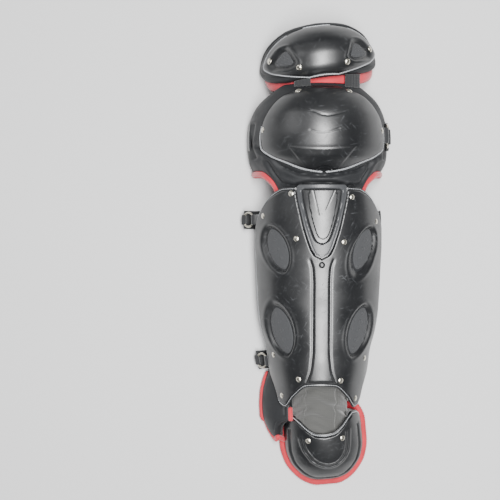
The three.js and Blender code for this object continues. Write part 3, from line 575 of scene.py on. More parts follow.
# Knee padding: one moulded foam body with side wings, pressed into panels by creases where it bends.
# It wraps the knee, overlaps the shin shell, and has a mesh lining sewn inside.
knee_foot = 72
knee_length = 147
knee_half = 97
knee_crown = 108
knee_rows = np.array([
    (0.0, 0.88, 0.87), (0.12, 0.88, 0.852), (0.25, 0.93, 0.865), (0.36, 0.985, 0.935), (0.56, 1.0, 1.0),
    (0.72, 0.98, 0.98), (0.86, 0.93, 0.91), (1.0, 0.85, 0.8),
], dtype=[("at", float), ("half", float), ("crown", float)])
knee_pad_foot = np.array([
    (0.0, 0.0), (0.42, 0.0), (0.47, 0.07), (0.56, 0.18), (0.7, 0.25), (1.0, 0.27),
], dtype=[("across", float), ("back", float)])
knee_pad_top = np.array([
    (0.0, -0.02), (0.4, -0.02), (0.6, 0.05), (0.8, 0.14), (1.0, 0.25),
], dtype=[("across", float), ("back", float)])
knee_point, knee_across, knee_sizes = arch(knee_rows, knee_foot, knee_length, knee_half, knee_crown)
knee_pad_patch = patch(knee_point, 1.0, knee_foot, knee_length, knee_pad_foot, knee_pad_top)
panel_lines = [
    [(-68, 121), (-60, 106), (-50, 92), (-36, 88), (-20, 91), (0, 92), (20, 91), (38, 88)],
    [(38, 88), (52, 92), (60, 106), (70, 128)],
    [(-80, 140), (-66, 128), (-49, 113), (-30, 104), (0, 101), (28, 104), (45, 108), (60, 116), (76, 128)],
    [(-86, 172), (-90, 148), (-84, 128)],
    [(88, 172), (91, 148), (85, 128)],
]


def knee_pad_relief(x, y, edge):
    """Panels swell a little between grooves 2 mm deep."""
    high = 1.0 * ease(2, 12, edge)
    for line in panel_lines:
        swell = bell(crease(x, y, line, 5.5, 1.0), -0.45, 0.3)
        high = high + crease(x, y, line, 1.7, 2.6) + 1.2 * swell
    return high


knee_pad = slab("knee_padding", knee_pad_patch, (110, 90), pad_out, pad_wall, 4, skin_finish, "pad",
                ["knee_pad"], knee_pad_relief)
knee_lining = slab("knee_lining_cloth", knee_pad_patch, (40, 36), lining_out, lining_wall, 0.9, mesh_finish,
                   "mesh", ["knee_lining"])
laid_cloth(knee_pad_patch, lining_out - lining_wall / 2, "knee_padding")


# Knee cap: a deep glossy dome riveted and sewn over the knee padding, with a doubled rim along its
# foot and two pressed smile lines.
cap_rows = np.array([
    (0.0, 0.04, 0.04), (0.012, 0.16, 0.1), (0.04, 0.34, 0.3), (0.11, 0.58, 0.58), (0.2, 0.84, 0.85),
    (0.3, 0.985, 1.0), (0.42, 1.0, 1.0), (0.6, 0.95, 0.95), (0.76, 0.83, 0.85), (0.88, 0.66, 0.65),
    (0.95, 0.44, 0.4), (1.0, 0.22, 0.08),
], dtype=[("at", float), ("half", float), ("rise", float)])
seat_room = 0.9


def dome(rows, foot, length, half_width, rise, pad, pad_level, centre=0.0):
    """A cap on a pad: the pad's height under it, plus rise times cos(a)^0.8, plus the cap's own wall."""
    pad_point, pad_across, _ = pad

    def point(u, y, out=0.0):
        at = (y - foot) / length
        angle = u * np.pi / 2
        half = half_width * read(rows, "half", at)
        bed_x = centre + (half - shell_wall) * np.sin(angle)
        bed = pad_point(pad_across(bed_x, y, pad_level), y, pad_level)[..., 2]
        swell = rise * read(rows, "rise", at) * np.cos(angle) ** 0.8 + (shell_wall + out) * np.cos(angle)
        return np.stack([centre + (half + out) * np.sin(angle), y + 0 * u, bed + seat_room + swell], -1)

    return point


cap_foot = 105
cap_length = 112
cap_centre = 3
cap_half = 81.5
cap_rise = 13
knee_form = (knee_point, knee_across, knee_sizes)
cap_point = dome(cap_rows, cap_foot, cap_length, cap_half, cap_rise, knee_form, -2.9, cap_centre)


def cap_relief(x, y, edge):
    """Flange 5 mm wide, a second rim line along the foot half, a raised lower panel and the pressed lines."""
    foot_half = ease(165, 140, y)
    high = 1.6 * ease(4.6, 7.0, edge) - 0.6 * bell(edge, 4.4, 0.7)
    high = high - 0.7 * foot_half * bell(edge, 9.0, 0.7)
    upper = [(-14, 180), (-9, 178.5), (-2, 175), (6, 173.8), (15, 175.5), (31, 180)]
    lower = [(-16, 155.5), (-9, 153), (-1, 152), (9, 153.5), (20, 157.5)]
    high = high + crease(x, y, upper, 1.2, 0.5) + crease(x, y, lower, 1.2, 0.5)
    brow = 132.5 + 0.0022 * x**2
    panel = np.minimum(ease(brow + 1.5, brow - 1.0, y), ease(0, 2.2, 27 + (y - 116.5) * 0.8 - abs(x)))
    high = high + 0.9 * panel * ease(8, 11, edge)
    return high * ease(1, 9, np.hypot(x - cap_centre, y - cap_foot))


cap_patch = patch(cap_point, 1.0, cap_foot, cap_length)
slab("knee_cap_moulding", cap_patch, (160, 150), 0, shell_wall, 1.2, shell_finish, "shell", ["knee_cap"],
     cap_relief)


# Thigh flap: foam padding with its lining, and a glossy moulded shell with two rounded windows over
# grey foam. The shell is sewn down round its rim and riveted through.
thigh_place = (0.5, 257)
thigh_turn = 7
thigh_length = 84
thigh_foot = -0.43 * thigh_length
thigh_half = 80
thigh_crown = 88
thigh_rows = np.array([
    (0.0, 0.88, 0.9), (0.13, 0.96, 0.97), (0.27, 1.0, 1.0), (0.42, 1.0, 1.0), (0.6, 0.96, 0.96),
    (0.8, 0.88, 0.86), (1.0, 0.7, 0.7),
], dtype=[("at", float), ("half", float), ("crown", float)])
thigh_pad_top = np.array([
    (0.0, 0.0), (0.45, 0.03), (0.75, 0.18), (1.0, 0.4),
], dtype=[("across", float), ("back", float)])
thigh_pad_foot = np.array([
    (0.0, 0.1), (0.4, 0.11), (0.6, 0.15), (0.75, 0.21), (1.0, 0.42),
], dtype=[("across", float), ("back", float)])
thigh = arch(thigh_rows, thigh_foot, thigh_length, thigh_half, thigh_crown)
thigh_pad_patch = patch(thigh[0], 1.0, thigh_foot, thigh_length, thigh_pad_foot, thigh_pad_top)


def thigh_pad_relief(x, y, edge):
    """A sewn line 9 mm from the edge, with the band outside it padded full."""
    return -1.6 * bell(edge, 9, 1.6) - 0.8 * ease(11, 16, edge)


thigh_pad = slab("thigh_padding", thigh_pad_patch, (130, 70), 0, pad_wall, 4.5, skin_finish, "pad",
                 ["thigh_pad"], thigh_pad_relief, thigh_place, thigh_turn)
thigh_lining = slab("thigh_lining_cloth", thigh_pad_patch, (40, 30), -13.9, lining_wall, 0.9, mesh_finish,
                    "mesh", ["thigh_lining"], None, thigh_place, thigh_turn)
laid_cloth(thigh_pad_patch, -14.9, "thigh_padding")

thigh_cap_rows = np.array([
    (0.0, 0.24, 0.1), (0.05, 0.45, 0.35), (0.13, 0.69, 0.65), (0.25, 0.9, 0.9), (0.4, 1.0, 1.0),
    (0.6, 0.92, 1.0), (0.79, 0.74, 0.8), (0.92, 0.5, 0.5), (1.0, 0.22, 0.1),
], dtype=[("at", float), ("half", float), ("rise", float)])
thigh_shell_length = 68
thigh_shell_foot = -0.4 * thigh_shell_length
thigh_shell_half = 74.5
thigh_rise = 9
thigh_cap_point = dome(thigh_cap_rows, thigh_shell_foot, thigh_shell_length, thigh_shell_half, thigh_rise,
                       thigh, 0)
thigh_window = np.array([(0.53, 0.32), (0.58, 0.29), (0.81, 0.34), (0.83, 0.39), (0.67, 0.55), (0.62, 0.55)])
thigh_corners = thigh_window * [thigh_shell_half, thigh_shell_length] + [0, thigh_shell_foot]


def outside(x, y, corners):
    """How far a point lies outside a convex outline with rounded corners: k log(sum of e^(d / k)) of the
    distances d past its sides, with k the rounding."""
    round_off = 1.7
    total = 0
    for (ax, ay), (bx, by) in zip(corners, np.roll(corners, -1, 0)):
        past = ((x - ax) * (by - ay) - (y - ay) * (bx - ax)) / math.hypot(bx - ax, by - ay)
        total = total + np.exp(np.clip(past / round_off, -30, 30))
    return round_off * np.log(total)


def thigh_relief(x, y, edge):
    """Flange 4 mm wide, the body raised behind it, and the two windows sunk with sloping walls."""
    high = 1.3 * ease(3.6, 6.4, edge) - 0.4 * bell(edge, 3.4, 0.7)
    past = outside(abs(x), y, thigh_corners) - 1.4
    sunk = ease(6.5, 0.3, past)
    return high * (1 - sunk) - 3.0 * sunk + 0.6 * bell(past, 7.5, 1.5)


thigh_shell_patch = patch(thigh_cap_point, 1.0, thigh_shell_foot, thigh_shell_length)
slab("thigh_shell_moulding", thigh_shell_patch, (160, 110), 0, shell_wall, 1.2, shell_finish, "shell",
     ["thigh_shell"], thigh_relief, thigh_place, thigh_turn)


def rays_to(corners, centre, angle):
    """Distance from a centre to a convex outline along each angle."""
    near = np.full(np.shape(angle), 1e9)
    for (ax, ay), (bx, by) in zip(corners, np.roll(corners, -1, 0)):
        nx, ny = by - ay, ax - bx
        gap = (ax - centre[0]) * nx + (ay - centre[1]) * ny
        towards = np.cos(angle) * nx + np.sin(angle) * ny
        near = np.minimum(near, np.where(towards > 1e-9, gap / np.maximum(towards, 1e-9), 1e9))
    return near


for name, sign in (("left", -1), ("right", 1)):
    corners = thigh_corners * [sign, 1]
    corners = corners if sign > 0 else corners[::-1]
    centre = corners.mean(0)
    share, angle = np.meshgrid(np.linspace(0.02, 1, 22), turns(72))
    far = share * (rays_to(corners, centre, angle) + 1.2)
    x, y = centre[0] + far * np.cos(angle), centre[1] + far * np.sin(angle)
    dots = np.cos(x * np.pi / 4.5) ** 2 * np.cos(y * np.pi / 4.5) ** 2
    raised = 1.0 * ease(0.35, 0.9, dots) * ease(1.0, 0.85, share) - 1.5 * ease(0.92, 1.0, share)
    half = thigh_shell_half * read(thigh_cap_rows, "half", (y - thigh_shell_foot) / thigh_shell_length)
    u = np.arcsin(np.clip(x / half, -1, 1)) * 2 / np.pi
    top = set_down(thigh_cap_point(u, y, raised - 2.0), thigh_place, thigh_turn)
    under = set_down(thigh_cap_point(u, y, -3.0 + 0 * raised), thigh_place, thigh_turn)
    foam = close_rings(f"thigh_window_foam_{name}", top, under, foam_finish, "foam", [f"thigh_foam_{name}"])


# Cloth tabs: two short pieces of black webbing sewn to the thigh flap's foot and to the knee's top,
# so that the flap can fold. The webbing is polyester, flat yarns woven at 1.6 mm, dull, with a soft
# sheen at grazing angles.
webbing_finish, tree, shader, spot = finish_named("polyester_webbing", "#18191b", 0.85, Sheen_Weight=0.3)


def weave(tree, spot, pitch, strength, shader, height):
    """Plain weave bump: two crossed sine bands of a yarn pitch in millimetres, multiplied."""
    bands = []
    for axis in ("X", "Y"):
        wave = node(tree, "ShaderNodeTexWave", [("Vector", spot)], Scale=1000 / pitch / 20 * math.pi,
                    wave_type="BANDS", bands_direction=axis, Distortion=0.4)
        bands.append(wave.outputs["Fac"])
    crossed = node(tree, "ShaderNodeMath", [(0, bands[0]), (1, bands[1])], operation="MULTIPLY").outputs[0]
    return bumped(tree, shader, crossed, height, strength)


weave(tree, spot, 1.6, 0.6, shader, 0.35)


def tab_height(x, y):
    """The higher of the thigh flap's and the knee pad's surfaces at a place."""
    turn = math.radians(-thigh_turn)
    dx, dy = x - thigh_place[0], y - thigh_place[1]
    lx = dx * math.cos(turn) - dy * math.sin(turn)
    ly = dx * math.sin(turn) + dy * math.cos(turn)
    on_thigh = thigh[0](thigh[1](lx, ly), ly)[..., 2]
    on_knee = knee_point(knee_across(x, y, pad_out), y, pad_out)[..., 2]
    return np.maximum(on_thigh, on_knee)


tab_middle = 9
tab_spacing = 66
tab_width = 21
tab_foot = 217.3
tab_top = 229
tab_length = 12
for name, sign in (("left", -1), ("right", 1)):
    s, t = np.meshgrid(steps(24, 0.03), steps(30, 0.03))
    x = tab_middle + sign * tab_spacing / 2 + tab_width * (s - 0.5)
    end = tab_top + (x - thigh_place[0]) * math.sin(math.radians(thigh_turn))
    y = tab_foot + t * (end - tab_foot)
    side = np.minimum(np.minimum(s, 1 - s) * tab_width, np.minimum(t, 1 - t) * tab_length)
    fall = rounding(side, 1.2)
    rows = 0.25 * np.cos(s * tab_width * np.pi / 2.1)
    z = tab_height(x, y) + 0.3
    top = np.stack([x, y, z + 3 + fall + rows * ease(0, 2, side)], -1)
    under = np.stack([x, y, z - 0.2 * fall], -1)
    wall(f"thigh_tab_{name}_webbing", set_down(top), set_down(under), webbing_finish, "cloth",
         [f"thigh_tab_{name}"])


# Ankle wings: smooth moulded foam on each side of the ankle, under the foot of the shin padding,
# each with a sewn line near its edge and a mesh lining.
wing_rows = np.array([
    (0.0, 0.82, 0.84), (0.17, 0.93, 0.92), (0.34, 0.99, 0.97), (0.5, 1.0, 1.0), (0.67, 0.99, 1.0),
    (0.84, 0.95, 1.0), (1.0, 0.88, 1.0),
], dtype=[("at", float), ("half", float), ("crown", float)])
wing_foot = np.array([
    (0.3, 0.3), (0.45, 0.27), (0.56, 0.2), (0.62, 0.12), (0.7, 0.04), (0.82, 0.0), (0.92, 0.05), (1.0, 0.28),
], dtype=[("across", float), ("back", float)])
wing_length = 91
wing_half = 76
wing_crown = 52
wing_patches = {}
for name, sign, width, length in (("left", -1, 1.0, wing_length), ("right", 1, 0.8, 0.42 * wing_length)):
    wing_point = arch(wing_rows, ankle_top - length, length, wing_half * width, wing_crown * width)[0]
    side = (sign, 0.35 * sign) if sign < 0 else (0.35, 1.0)
    wing_patches[name] = patch(wing_point, side, ankle_top - length, length, wing_foot)
    wing = slab(f"ankle_wing_{name}_padding", wing_patches[name], (40, 45), 0, 9, 3, skin_finish, "pad",
                [f"ankle_wing_{name}"], lambda x, y, edge: -0.9 * bell(edge, 7, 1.4))
    lining = slab(f"ankle_lining_{name}_cloth", wing_patches[name], (30, 40), -9.9, lining_wall, 0.9,
                  mesh_finish, "mesh", [f"ankle_lining_{name}"])
    laid_cloth(wing_patches[name], -10.9, wing.name)


# Tongue: dark grey woven cloth over thin foam, sewn along two lines. It joins the shin to the toe cap
# and is wrinkled where the ankle bends.
tongue_finish, tree, shader, spot = finish_named("tongue_cloth", "#464644", 0.92, Sheen_Weight=0.35)
weave(tree, spot, 1.3, 0.7, shader, 0.35)
tongue_rows = np.array([
    (0.0, 0.95, 0.68), (0.35, 0.95, 0.78), (0.7, 0.97, 0.89), (1.0, 1.0, 1.0),
], dtype=[("at", float), ("half", float), ("crown", float)])
tongue_length = 84
tongue_foot = ankle_top - 0.3 - tongue_length
tongue_half = 45
tongue_crown = 74
tongue_point = arch(tongue_rows, tongue_foot, tongue_length, tongue_half, tongue_crown)[0]
tongue_patch = patch(tongue_point, (-0.63, 0.74), tongue_foot, tongue_length)


def tongue_relief(x, y, edge):
    """Soft wrinkles that sag across, and two sewn lines."""
    bend = y + 0.012 * x**2 + 2.5 * np.sin(x / 7.0)
    folds = ease(0.05, 0.7, np.sin(bend / 17.0) * 0.5 + 0.5)
    wrinkles = 2.1 * np.sin(bend / 3.1) * folds + 0.8 * np.sin(bend / 1.9 + x / 9)
    seams = -1.5 * bell(abs(x - 1), 21, 0.8)
    return wrinkles * ease(1, 5, edge) + seams


tongue = slab("tongue_cloth", tongue_patch, (80, 100), 0, 3, 1.3, tongue_finish, "cloth", ["tongue"],
              tongue_relief)
laid_cloth(tongue_patch, -1.5, "shin_padding")


# Toe cap: a glossy moulded shell with two curves pressed into it, riveted over a pad of the tongue's
# cloth.
toe_place = (9, -259)
toe_turn = 5
toe_length = 96
toe_foot = -0.53 * toe_length
toe_half = 52
toe_crown = 60
toe_edge_height = 7.8
toe_rows = np.array([
    (0.0, 0.3, 0.19), (0.05, 0.5, 0.37), (0.14, 0.7, 0.56), (0.32, 0.92, 0.77), (0.53, 1.0, 0.9),
    (0.74, 1.0, 0.97), (1.0, 0.98, 1.0),
], dtype=[("at", float), ("half", float), ("crown", float)])
toe_top = np.array([
    (0.0, 0.26), (0.15, 0.24), (0.3, 0.16), (0.45, 0.055), (0.58, 0.0), (0.72, 0.01), (0.88, 0.08),
    (1.0, 0.2),
], dtype=[("across", float), ("back", float)])
toe_point = arch(toe_rows, toe_foot, toe_length, toe_half, toe_crown, edge=toe_edge_height)[0]
toe_patch = patch(toe_point, 1.0, toe_foot, toe_length, None, toe_top)
toe_sides = np.linspace(0.0, 0.84, 18)
toe_rim = np.stack([toe_half * read(toe_rows, "half", toe_sides), toe_foot + toe_sides * toe_length], -1)
toe_rim = np.concatenate([toe_rim[::-1], toe_rim * [-1, 1]])


def toe_relief(x, y, edge):
    """A flange pressed all round between a groove and a bead, and two raised curves that follow the rim."""
    high = 1.5 * ease(4.2, 6.2, edge) - 0.5 * bell(edge, 4.0, 0.6)
    high = high + crease(x, y, toe_rim * [0.865, 0.87], 1.1, 1.3)
    high = high - crease(x, y, toe_rim * [0.92, 0.92], 1.1, 0.8)
    outer = [(-33, 14), (-31.5, 6), (-29, -2), (-20, -17), (-12, -23.5), (-4, -27), (4, -28), (12, -26),
             (20, -20.5), (25, -15), (29.5, -6), (31, 2), (33, 22)]
    inner = [(-28, 13), (-27, 6), (-24.5, -1), (-17, -13), (-10, -18.8), (-3.5, -22), (3.5, -23),
             (10.5, -21.5), (16.5, -17.5), (21, -12), (25, -4), (26.5, 4), (28, 20)]
    return high - crease(x, y, outer, 1.3, 1.0) - crease(x, y, inner, 1.3, 0.8)


slab("toe_cap_moulding", toe_patch, (160, 140), 0, shell_wall, 1.2, shell_finish, "shell", ["toe_shell"],
     toe_relief, toe_place, toe_turn)
level_top = np.array([(0.0, 0.43), (1.0, 0.43)], dtype=[("across", float), ("back", float)])
level_foot = np.array([(0.0, 0.12), (1.0, 0.12)], dtype=[("across", float), ("back", float)])
toe_pad_patch = patch(toe_point, 1.0, toe_foot, toe_length, level_foot, level_top)
toe_pad = slab("toe_padding", toe_pad_patch, (50, 36), pad_out, 5, 2, tongue_finish, "cloth", ["toe_pad"],
               None, toe_place, toe_turn)


# Red binding: nylon tape folded over each free edge of the padding and sewn through, coral red, with
# a fine cross weave and a row of stitches.
binding_finish, tree, shader, spot = finish_named("red_binding_tape", "#bb1d2e", 0.75, Sheen_Weight=0.3)
weave(tree, spot, 1.1, 0.5, shader, 0.25)
faded = graded(tree, grain(tree, spot, 18), 0.35, 0.7, 0.0, 1.0)
two_tone(tree, shader, faded, "#bb1d2e", "#a61826")


def unit(vectors):
    """Vectors brought to a length of one."""
    return vectors / np.linalg.norm(vectors, axis=-1, keepdims=True)


def frames(path, up):
    """Unit tangent, sideways and up vectors along a path, with up squared to the tangent."""
    along = unit(np.gradient(path, axis=0))
    up = unit(up - (up * along).sum(1, keepdims=True) * along)
    return along, np.cross(along, up), up


def tube(name, rings, finish, slot, nodes=(), smooth=50):
    """Rings of points joined along a path, the first and last closed by a fan."""
    count, sides = rings.shape[:2]
    index = np.arange(count * sides).reshape(count, sides)
    after = np.roll(index, -1, 1)
    quads = np.stack([index[:-1], after[:-1], after[1:], index[1:]], -1).reshape(-1, 4)
    ends = count * sides + np.arange(2)
    fans = np.concatenate([
        np.stack([np.full(sides, ends[0]), after[0], index[0]], -1),
        np.stack([np.full(sides, ends[1]), index[-1], after[-1]], -1),
    ])
    points = np.concatenate([rings.reshape(-1, 3), [rings[0].mean(0), rings[-1].mean(0)]])
    return mixed_piece(name, points, quads, fans, finish, slot, nodes, smooth)


def roll(name, path, up, half_across, half_up, nodes=(), place=(0, 0), turn=0.0):
    """Binding tape round an edge: an ellipse carried along the path, rounded off at both ends."""
    along, across, up = frames(path, up)
    angle = turns(16)
    share = np.linspace(0, 1, len(path))
    run = np.linalg.norm(np.diff(path, axis=0), axis=1).sum()
    close = np.minimum(share, 1 - share) * run
    size = np.sqrt(np.clip(1 - (1 - np.clip(close / 2.5, 0, 1)) ** 2, 0.02, 1))[:, None, None]
    seam = 0.12 * np.cos(2 * angle)[None, :, None] * np.sin(share * run * 2 * np.pi / 2.6)[:, None, None]
    rings = path[:, None] + size * (across[:, None] * half_across * np.cos(angle)[:, None] * (1 + seam)
                                    + up[:, None] * half_up * np.sin(angle)[:, None])
    return tube(name, set_down(rings, place, turn), binding_finish, "lining", nodes)


def outward(surface, s, t, out):
    """Unit normals of a patch at places along it, from its level one millimetre further out."""
    return unit(surface(s, t, out + 1.0) - surface(s, t, out))


def bound_edge(name, surface, s, t, out, half_across, half_up, shift=0.0, place=(0, 0), turn=0.0):
    """Binding along a line of a patch, moved by a shift along y."""
    path = surface(s, t, out) + np.array([0, shift, 0])
    return roll(name, path, outward(surface, s, t, out), half_across, half_up, (), place, turn)


run = np.linspace(0, 1, 260)
bound_edge("thigh_binding", thigh_pad_patch, 0.02 + 0.96 * run, 0 * run, -9.5, 6.6, 4.0, -5.6, thigh_place,
           thigh_turn)
bound_edge("waist_binding_left", knee_pad_patch, 0.275 * run, 0 * run, -6.0, 4.6, 5.0, -3.4)
bound_edge("waist_binding_right", knee_pad_patch, 1 - 0.275 * run, 0 * run, -6.0, 4.6, 5.0, -3.4)
bound_edge("knee_binding_right", knee_pad_patch, 1 + 0 * run, 0.76 + 0.16 * run, -2.2, 2.4, 3.4)
foot_run = wing_patches["left"](0.47 * run[::-1], 0 * run, -5.0)
foot_way = outward(wing_patches["left"], 0.47 * run[::-1], 0 * run, -5.0)
tuck = foot_run[0] + np.linspace(1, 0, 40)[:-1, None] * np.array([12.0, -7.0, -12.0])
side_run = wing_patches["left"](0 * run, run, -2.0)
wing_path = np.concatenate([tuck, foot_run[:-1], side_run[1:]])
wing_path[:, 2] = np.maximum(wing_path[:, 2], 4.3)
wing_up = np.concatenate([
    np.tile(foot_way[:1], (len(tuck), 1)), foot_way[:-1], np.tile([0.0, 0.0, 1.0], (len(run) - 1, 1)),
])


def run_along(path):
    """Distance from a path's start at each of its points."""
    return np.r_[0, np.linalg.norm(np.diff(path, axis=0), axis=1).cumsum()]


def points_at(path, run, places):
    """Points of a path at places along its run."""
    return np.stack([np.interp(places, run, column) for column in path.T], -1)


def soften(path, rounds):
    """Averages each point with its neighbours, the ends held, so corners turn smoothly."""
    for _ in range(rounds):
        path = np.concatenate([path[:1], (path[:-2] + 2 * path[1:-1] + path[2:]) / 4, path[-1:]])
    return path


roll("ankle_binding_left", soften(wing_path, 60) + np.array([-1.6, -2.2, 0]), soften(wing_up, 60), 4.0, 3.3)
bound_edge("ankle_binding_inner", wing_patches["left"], 1 + 0 * run, 0.3 * run, -3.0, 3.4, 3.4)

toe_run = np.linspace(0, 0.92, 90) ** 1.5 / 0.92**0.5
toe_side_y = toe_foot + toe_run * toe_length * 0.92
toe_side = np.stack([toe_half * read(toe_rows, "half", (toe_side_y - toe_foot) / toe_length), toe_side_y], -1)
toe_horn = np.array([
    [0.9 * toe_half, toe_foot + 0.97 * toe_length], [0.66 * toe_half, toe_foot + toe_length],
])
toe_nose = np.stack([np.linspace(0, toe_side[0, 0], 12)[:-1], np.full(11, toe_foot)], -1)
toe_right = np.concatenate([toe_nose, toe_side, toe_horn])
toe_left = toe_right[toe_right[:, 1] < toe_foot + 0.84 * toe_length]
toe_line = np.concatenate([toe_left[:0:-1] * [-1, 1], toe_right])
spread = run_along(toe_line)
toe_line = points_at(toe_line, spread, np.linspace(0, spread[-1], 420))
toe_path = soften(np.concatenate([toe_line, np.full((420, 1), 3.9)], 1), 40)
toe_up = np.tile([0.0, 0.0, 1.0], (420, 1))
toe_side_way = frames(toe_path, toe_up)[1]
roll("toe_binding_tape", toe_path + 3.2 * toe_side_way, toe_up, 5.2, 3.8, ["toe_binding"], toe_place,
     toe_turn)


# Rivets: nickel-plated steel with domed heads, pressed through the shells into the padding. The one
# at the top of the shin's ridge is finished black like the shell.
nickel_finish, tree, shader, spot = finish_named("nickel_plated_steel", "#d9d4c6", 0.28, Metallic=1.0)
tarnish = graded(tree, grain(tree, spot, 2.5), 0.4, 0.75, 0.22, 0.45)
tree.links.new(tarnish, shader.inputs["Roughness"])


def seat(name):
    """Centre, axes and half sizes of a CAD node from the spread of its points, in metres, with the shortest
    axis last and pointing up."""
    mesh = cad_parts[name].data
    points = np.zeros(len(mesh.vertices) * 3)
    mesh.vertices.foreach_get("co", points)
    points = np.unique(points.reshape(-1, 3).round(6), axis=0)
    middle = points.mean(0)
    axes = np.linalg.svd(points - middle, full_matrices=False)[2]
    axes[2] *= 1 if axes[2, 2] >= 0 else -1
    along = (points - middle) @ axes.T
    return middle + axes.T @ ((along.max(0) + along.min(0)) / 2), axes, (along.max(0) - along.min(0)) / 2


for name in sorted(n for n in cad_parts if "rivet" in n):
    middle, axes, reach = seat(name)
    finish = shell_finish if "ridge" in name else nickel_finish
    across = np.array([4.3, 4.4, 4.2, 3.9, 3.5, 2.9, 2.1, 1.1, 0.3]) / 1000
    high = np.array([-0.2, 0.2, 0.6, 0.85, 1.3, 1.75, 2.1, 2.3, 2.35]) / 1000
    angle = turns(24)
    base = middle - axes[2] * reach[2]
    circle = axes[0] * np.cos(angle)[:, None] + axes[1] * np.sin(angle)[:, None]
    rings = base + across[:, None, None] * circle + high[:, None, None] * axes[2]
    tube(f"{name}_head", rings, finish, "metal", [name])


# Straps: elastic webbing sewn to one side of the padding, straight across under the guard, up to a wire
# ring on the other side and folded round it. A folded keeper of webbing holds the ring to the padding.
calf_webbing = 25
knee_webbing = 38
webbing_wall = 2.0
ring_half = 9
fold_radius = 3.3
strap_table = [
    ("calf_upper", shin_point, shin_sizes, 46, calf_webbing, -1, 0.9, 38),
    ("calf_lower", shin_point, shin_sizes, -146, calf_webbing, -1, 0.9, 38),
    ("knee", knee_point, knee_sizes, 158, knee_webbing, 1, 0.81, 0),
]


def band(name, line, y, width, wall, taper, nodes=()):
    """Webbing along a line in the x-z plane: a flat section with rounded edges, |a|^p + |b|^q = 1."""
    run = run_along(line)
    line = soften(points_at(line, run, np.linspace(0, run[-1], int(run[-1] / 1.2) + 2)), 14)
    way = unit(np.gradient(line, axis=0))
    angle = turns(24)
    wide = width / 2 * np.sign(np.cos(angle)) * np.abs(np.cos(angle)) ** 0.3
    high = wall / 2 * np.sign(np.sin(angle)) * np.abs(np.sin(angle)) ** 0.6
    x = line[:, None, 0] - way[:, None, 1] * high
    z = line[:, None, 1] + way[:, None, 0] * high
    rings = np.stack([x, y + wide + 0 * line[:, None, 0], z], -1)
    rings[..., 0] *= taper(rings[..., 1])
    return tube(name, set_down(rings), webbing_finish, "webbing", nodes)


def drum(name, spot, y, width, radius, taper, nodes=()):
    """Webbing wound round a wire: rings along y about a point in the x-z plane, rounded at both ends."""
    share = np.array([0.3, 0.75, 0.95, 1.0, 1.0, 1.0, 0.95, 0.75, 0.3])
    place = y + width / 2 * np.array([-1, -0.98, -0.94, -0.88, 0, 0.88, 0.94, 0.98, 1])
    angle = turns(16)
    rings = np.stack([
        spot[0] + radius * share[:, None] * np.cos(angle), place[:, None] + 0 * angle,
        spot[1] + radius * share[:, None] * np.sin(angle),
    ], -1)
    rings[..., 0] *= taper(rings[..., 1])
    return tube(name, set_down(rings), webbing_finish, "webbing", nodes)


for name, point, sizes, y, width, side, across, lean in strap_table:
    reach = sizes(y)[0] + pad_out

    def taper(place):
        return (sizes(place)[0] + pad_out) / reach

    def on_side(sign, u, distance):
        near, above = (point(np.array(v), np.array(float(y)), pad_out)[[0, 2]] for v in (u, u - 0.02))
        up = (above - near) / np.linalg.norm(above - near)
        return np.array([sign * (near[0] + up[1] * distance), near[1] - up[0] * distance]), up * [sign, 1]

    sewn = [on_side(-side, u, 1.9)[0] for u in (0.84, 0.89, 0.94)]
    rising = [on_side(side, u, 1.9)[0] for u in (0.97, 0.91, 0.85, 0.79) if u > across + 0.07]
    turn = math.radians(lean) * side
    middle, up = on_side(side, across, 4.1 + ring_half * math.sin(abs(turn)))
    c, s = math.cos(turn), math.sin(turn)
    up = np.array([c * up[0] - s * up[1], s * up[0] + c * up[1]])
    low_wire, high_wire = middle - ring_half * up, middle + ring_half * up
    corner = np.array([(reach + 2.1, 2.79), (reach + 0.81, 1.0), (reach - 3, 1.0)])
    line = [*sewn, *(corner * [-side, 1]), *(corner[::-1] * [side, 1]), *rising, low_wire]
    band(f"{name}_strap_webbing", np.array(line), y, width, webbing_wall, taper, [f"{name}_strap"])
    drum(f"{name}_strap_fold", low_wire, y, 0.55 * width, fold_radius, taper)
    drum(f"{name}_keeper_fold", high_wire, y, 0.55 * width, fold_radius, taper, [f"{name}_keeper"])
    held = [on_side(side, u, 1.4)[0] for u in (across - 0.1, across - 0.15, across - 0.19)]
    band(f"{name}_keeper_tail", np.array([high_wire, *held]), y, 0.52 * width, 1.8, taper)
    middle, axes, reach_of = seat(f"{name}_ring")
    wire = reach_of[2]
    around = turns(64)[:, None]
    angle = turns(12)
    loop = middle + np.cos(around) * axes[0] * (reach_of[0] - wire)
    loop = loop + np.sin(around) * axes[1] * (reach_of[1] - wire)
    way = unit(loop - middle)
    rings = loop[:, None] + wire * (way[:, None] * np.cos(angle)[:, None] + axes[2] * np.sin(angle)[:, None])
    index = np.arange(rings.shape[0] * rings.shape[1]).reshape(rings.shape[:2])
    ahead = np.roll(index, -1, 0)
    faces = np.stack([index, np.roll(index, -1, 1), np.roll(ahead, -1, 1), ahead], -1).reshape(-1, 4)
    piece(f"{name}_wire_ring", rings, faces, nickel_finish, "metal", [f"{name}_ring"])


# Sewing: waxed thread through the flange of each shell, a roped edge down the shin and round the knee cap's
# foot, all short stitches that lie on the rim. The thread's light grey is a painted highlight for the gloss
# along the rims.
# Light grey thread colour: a painted highlight along the sewn rims.
thread_painted_highlight_finish, tree, shader, spot = finish_named("thread_painted_highlight_grey", "#a3a5a8", 0.5)
bumped(tree, shader, grain(tree, spot, 0.5), 0.1, 0.6)


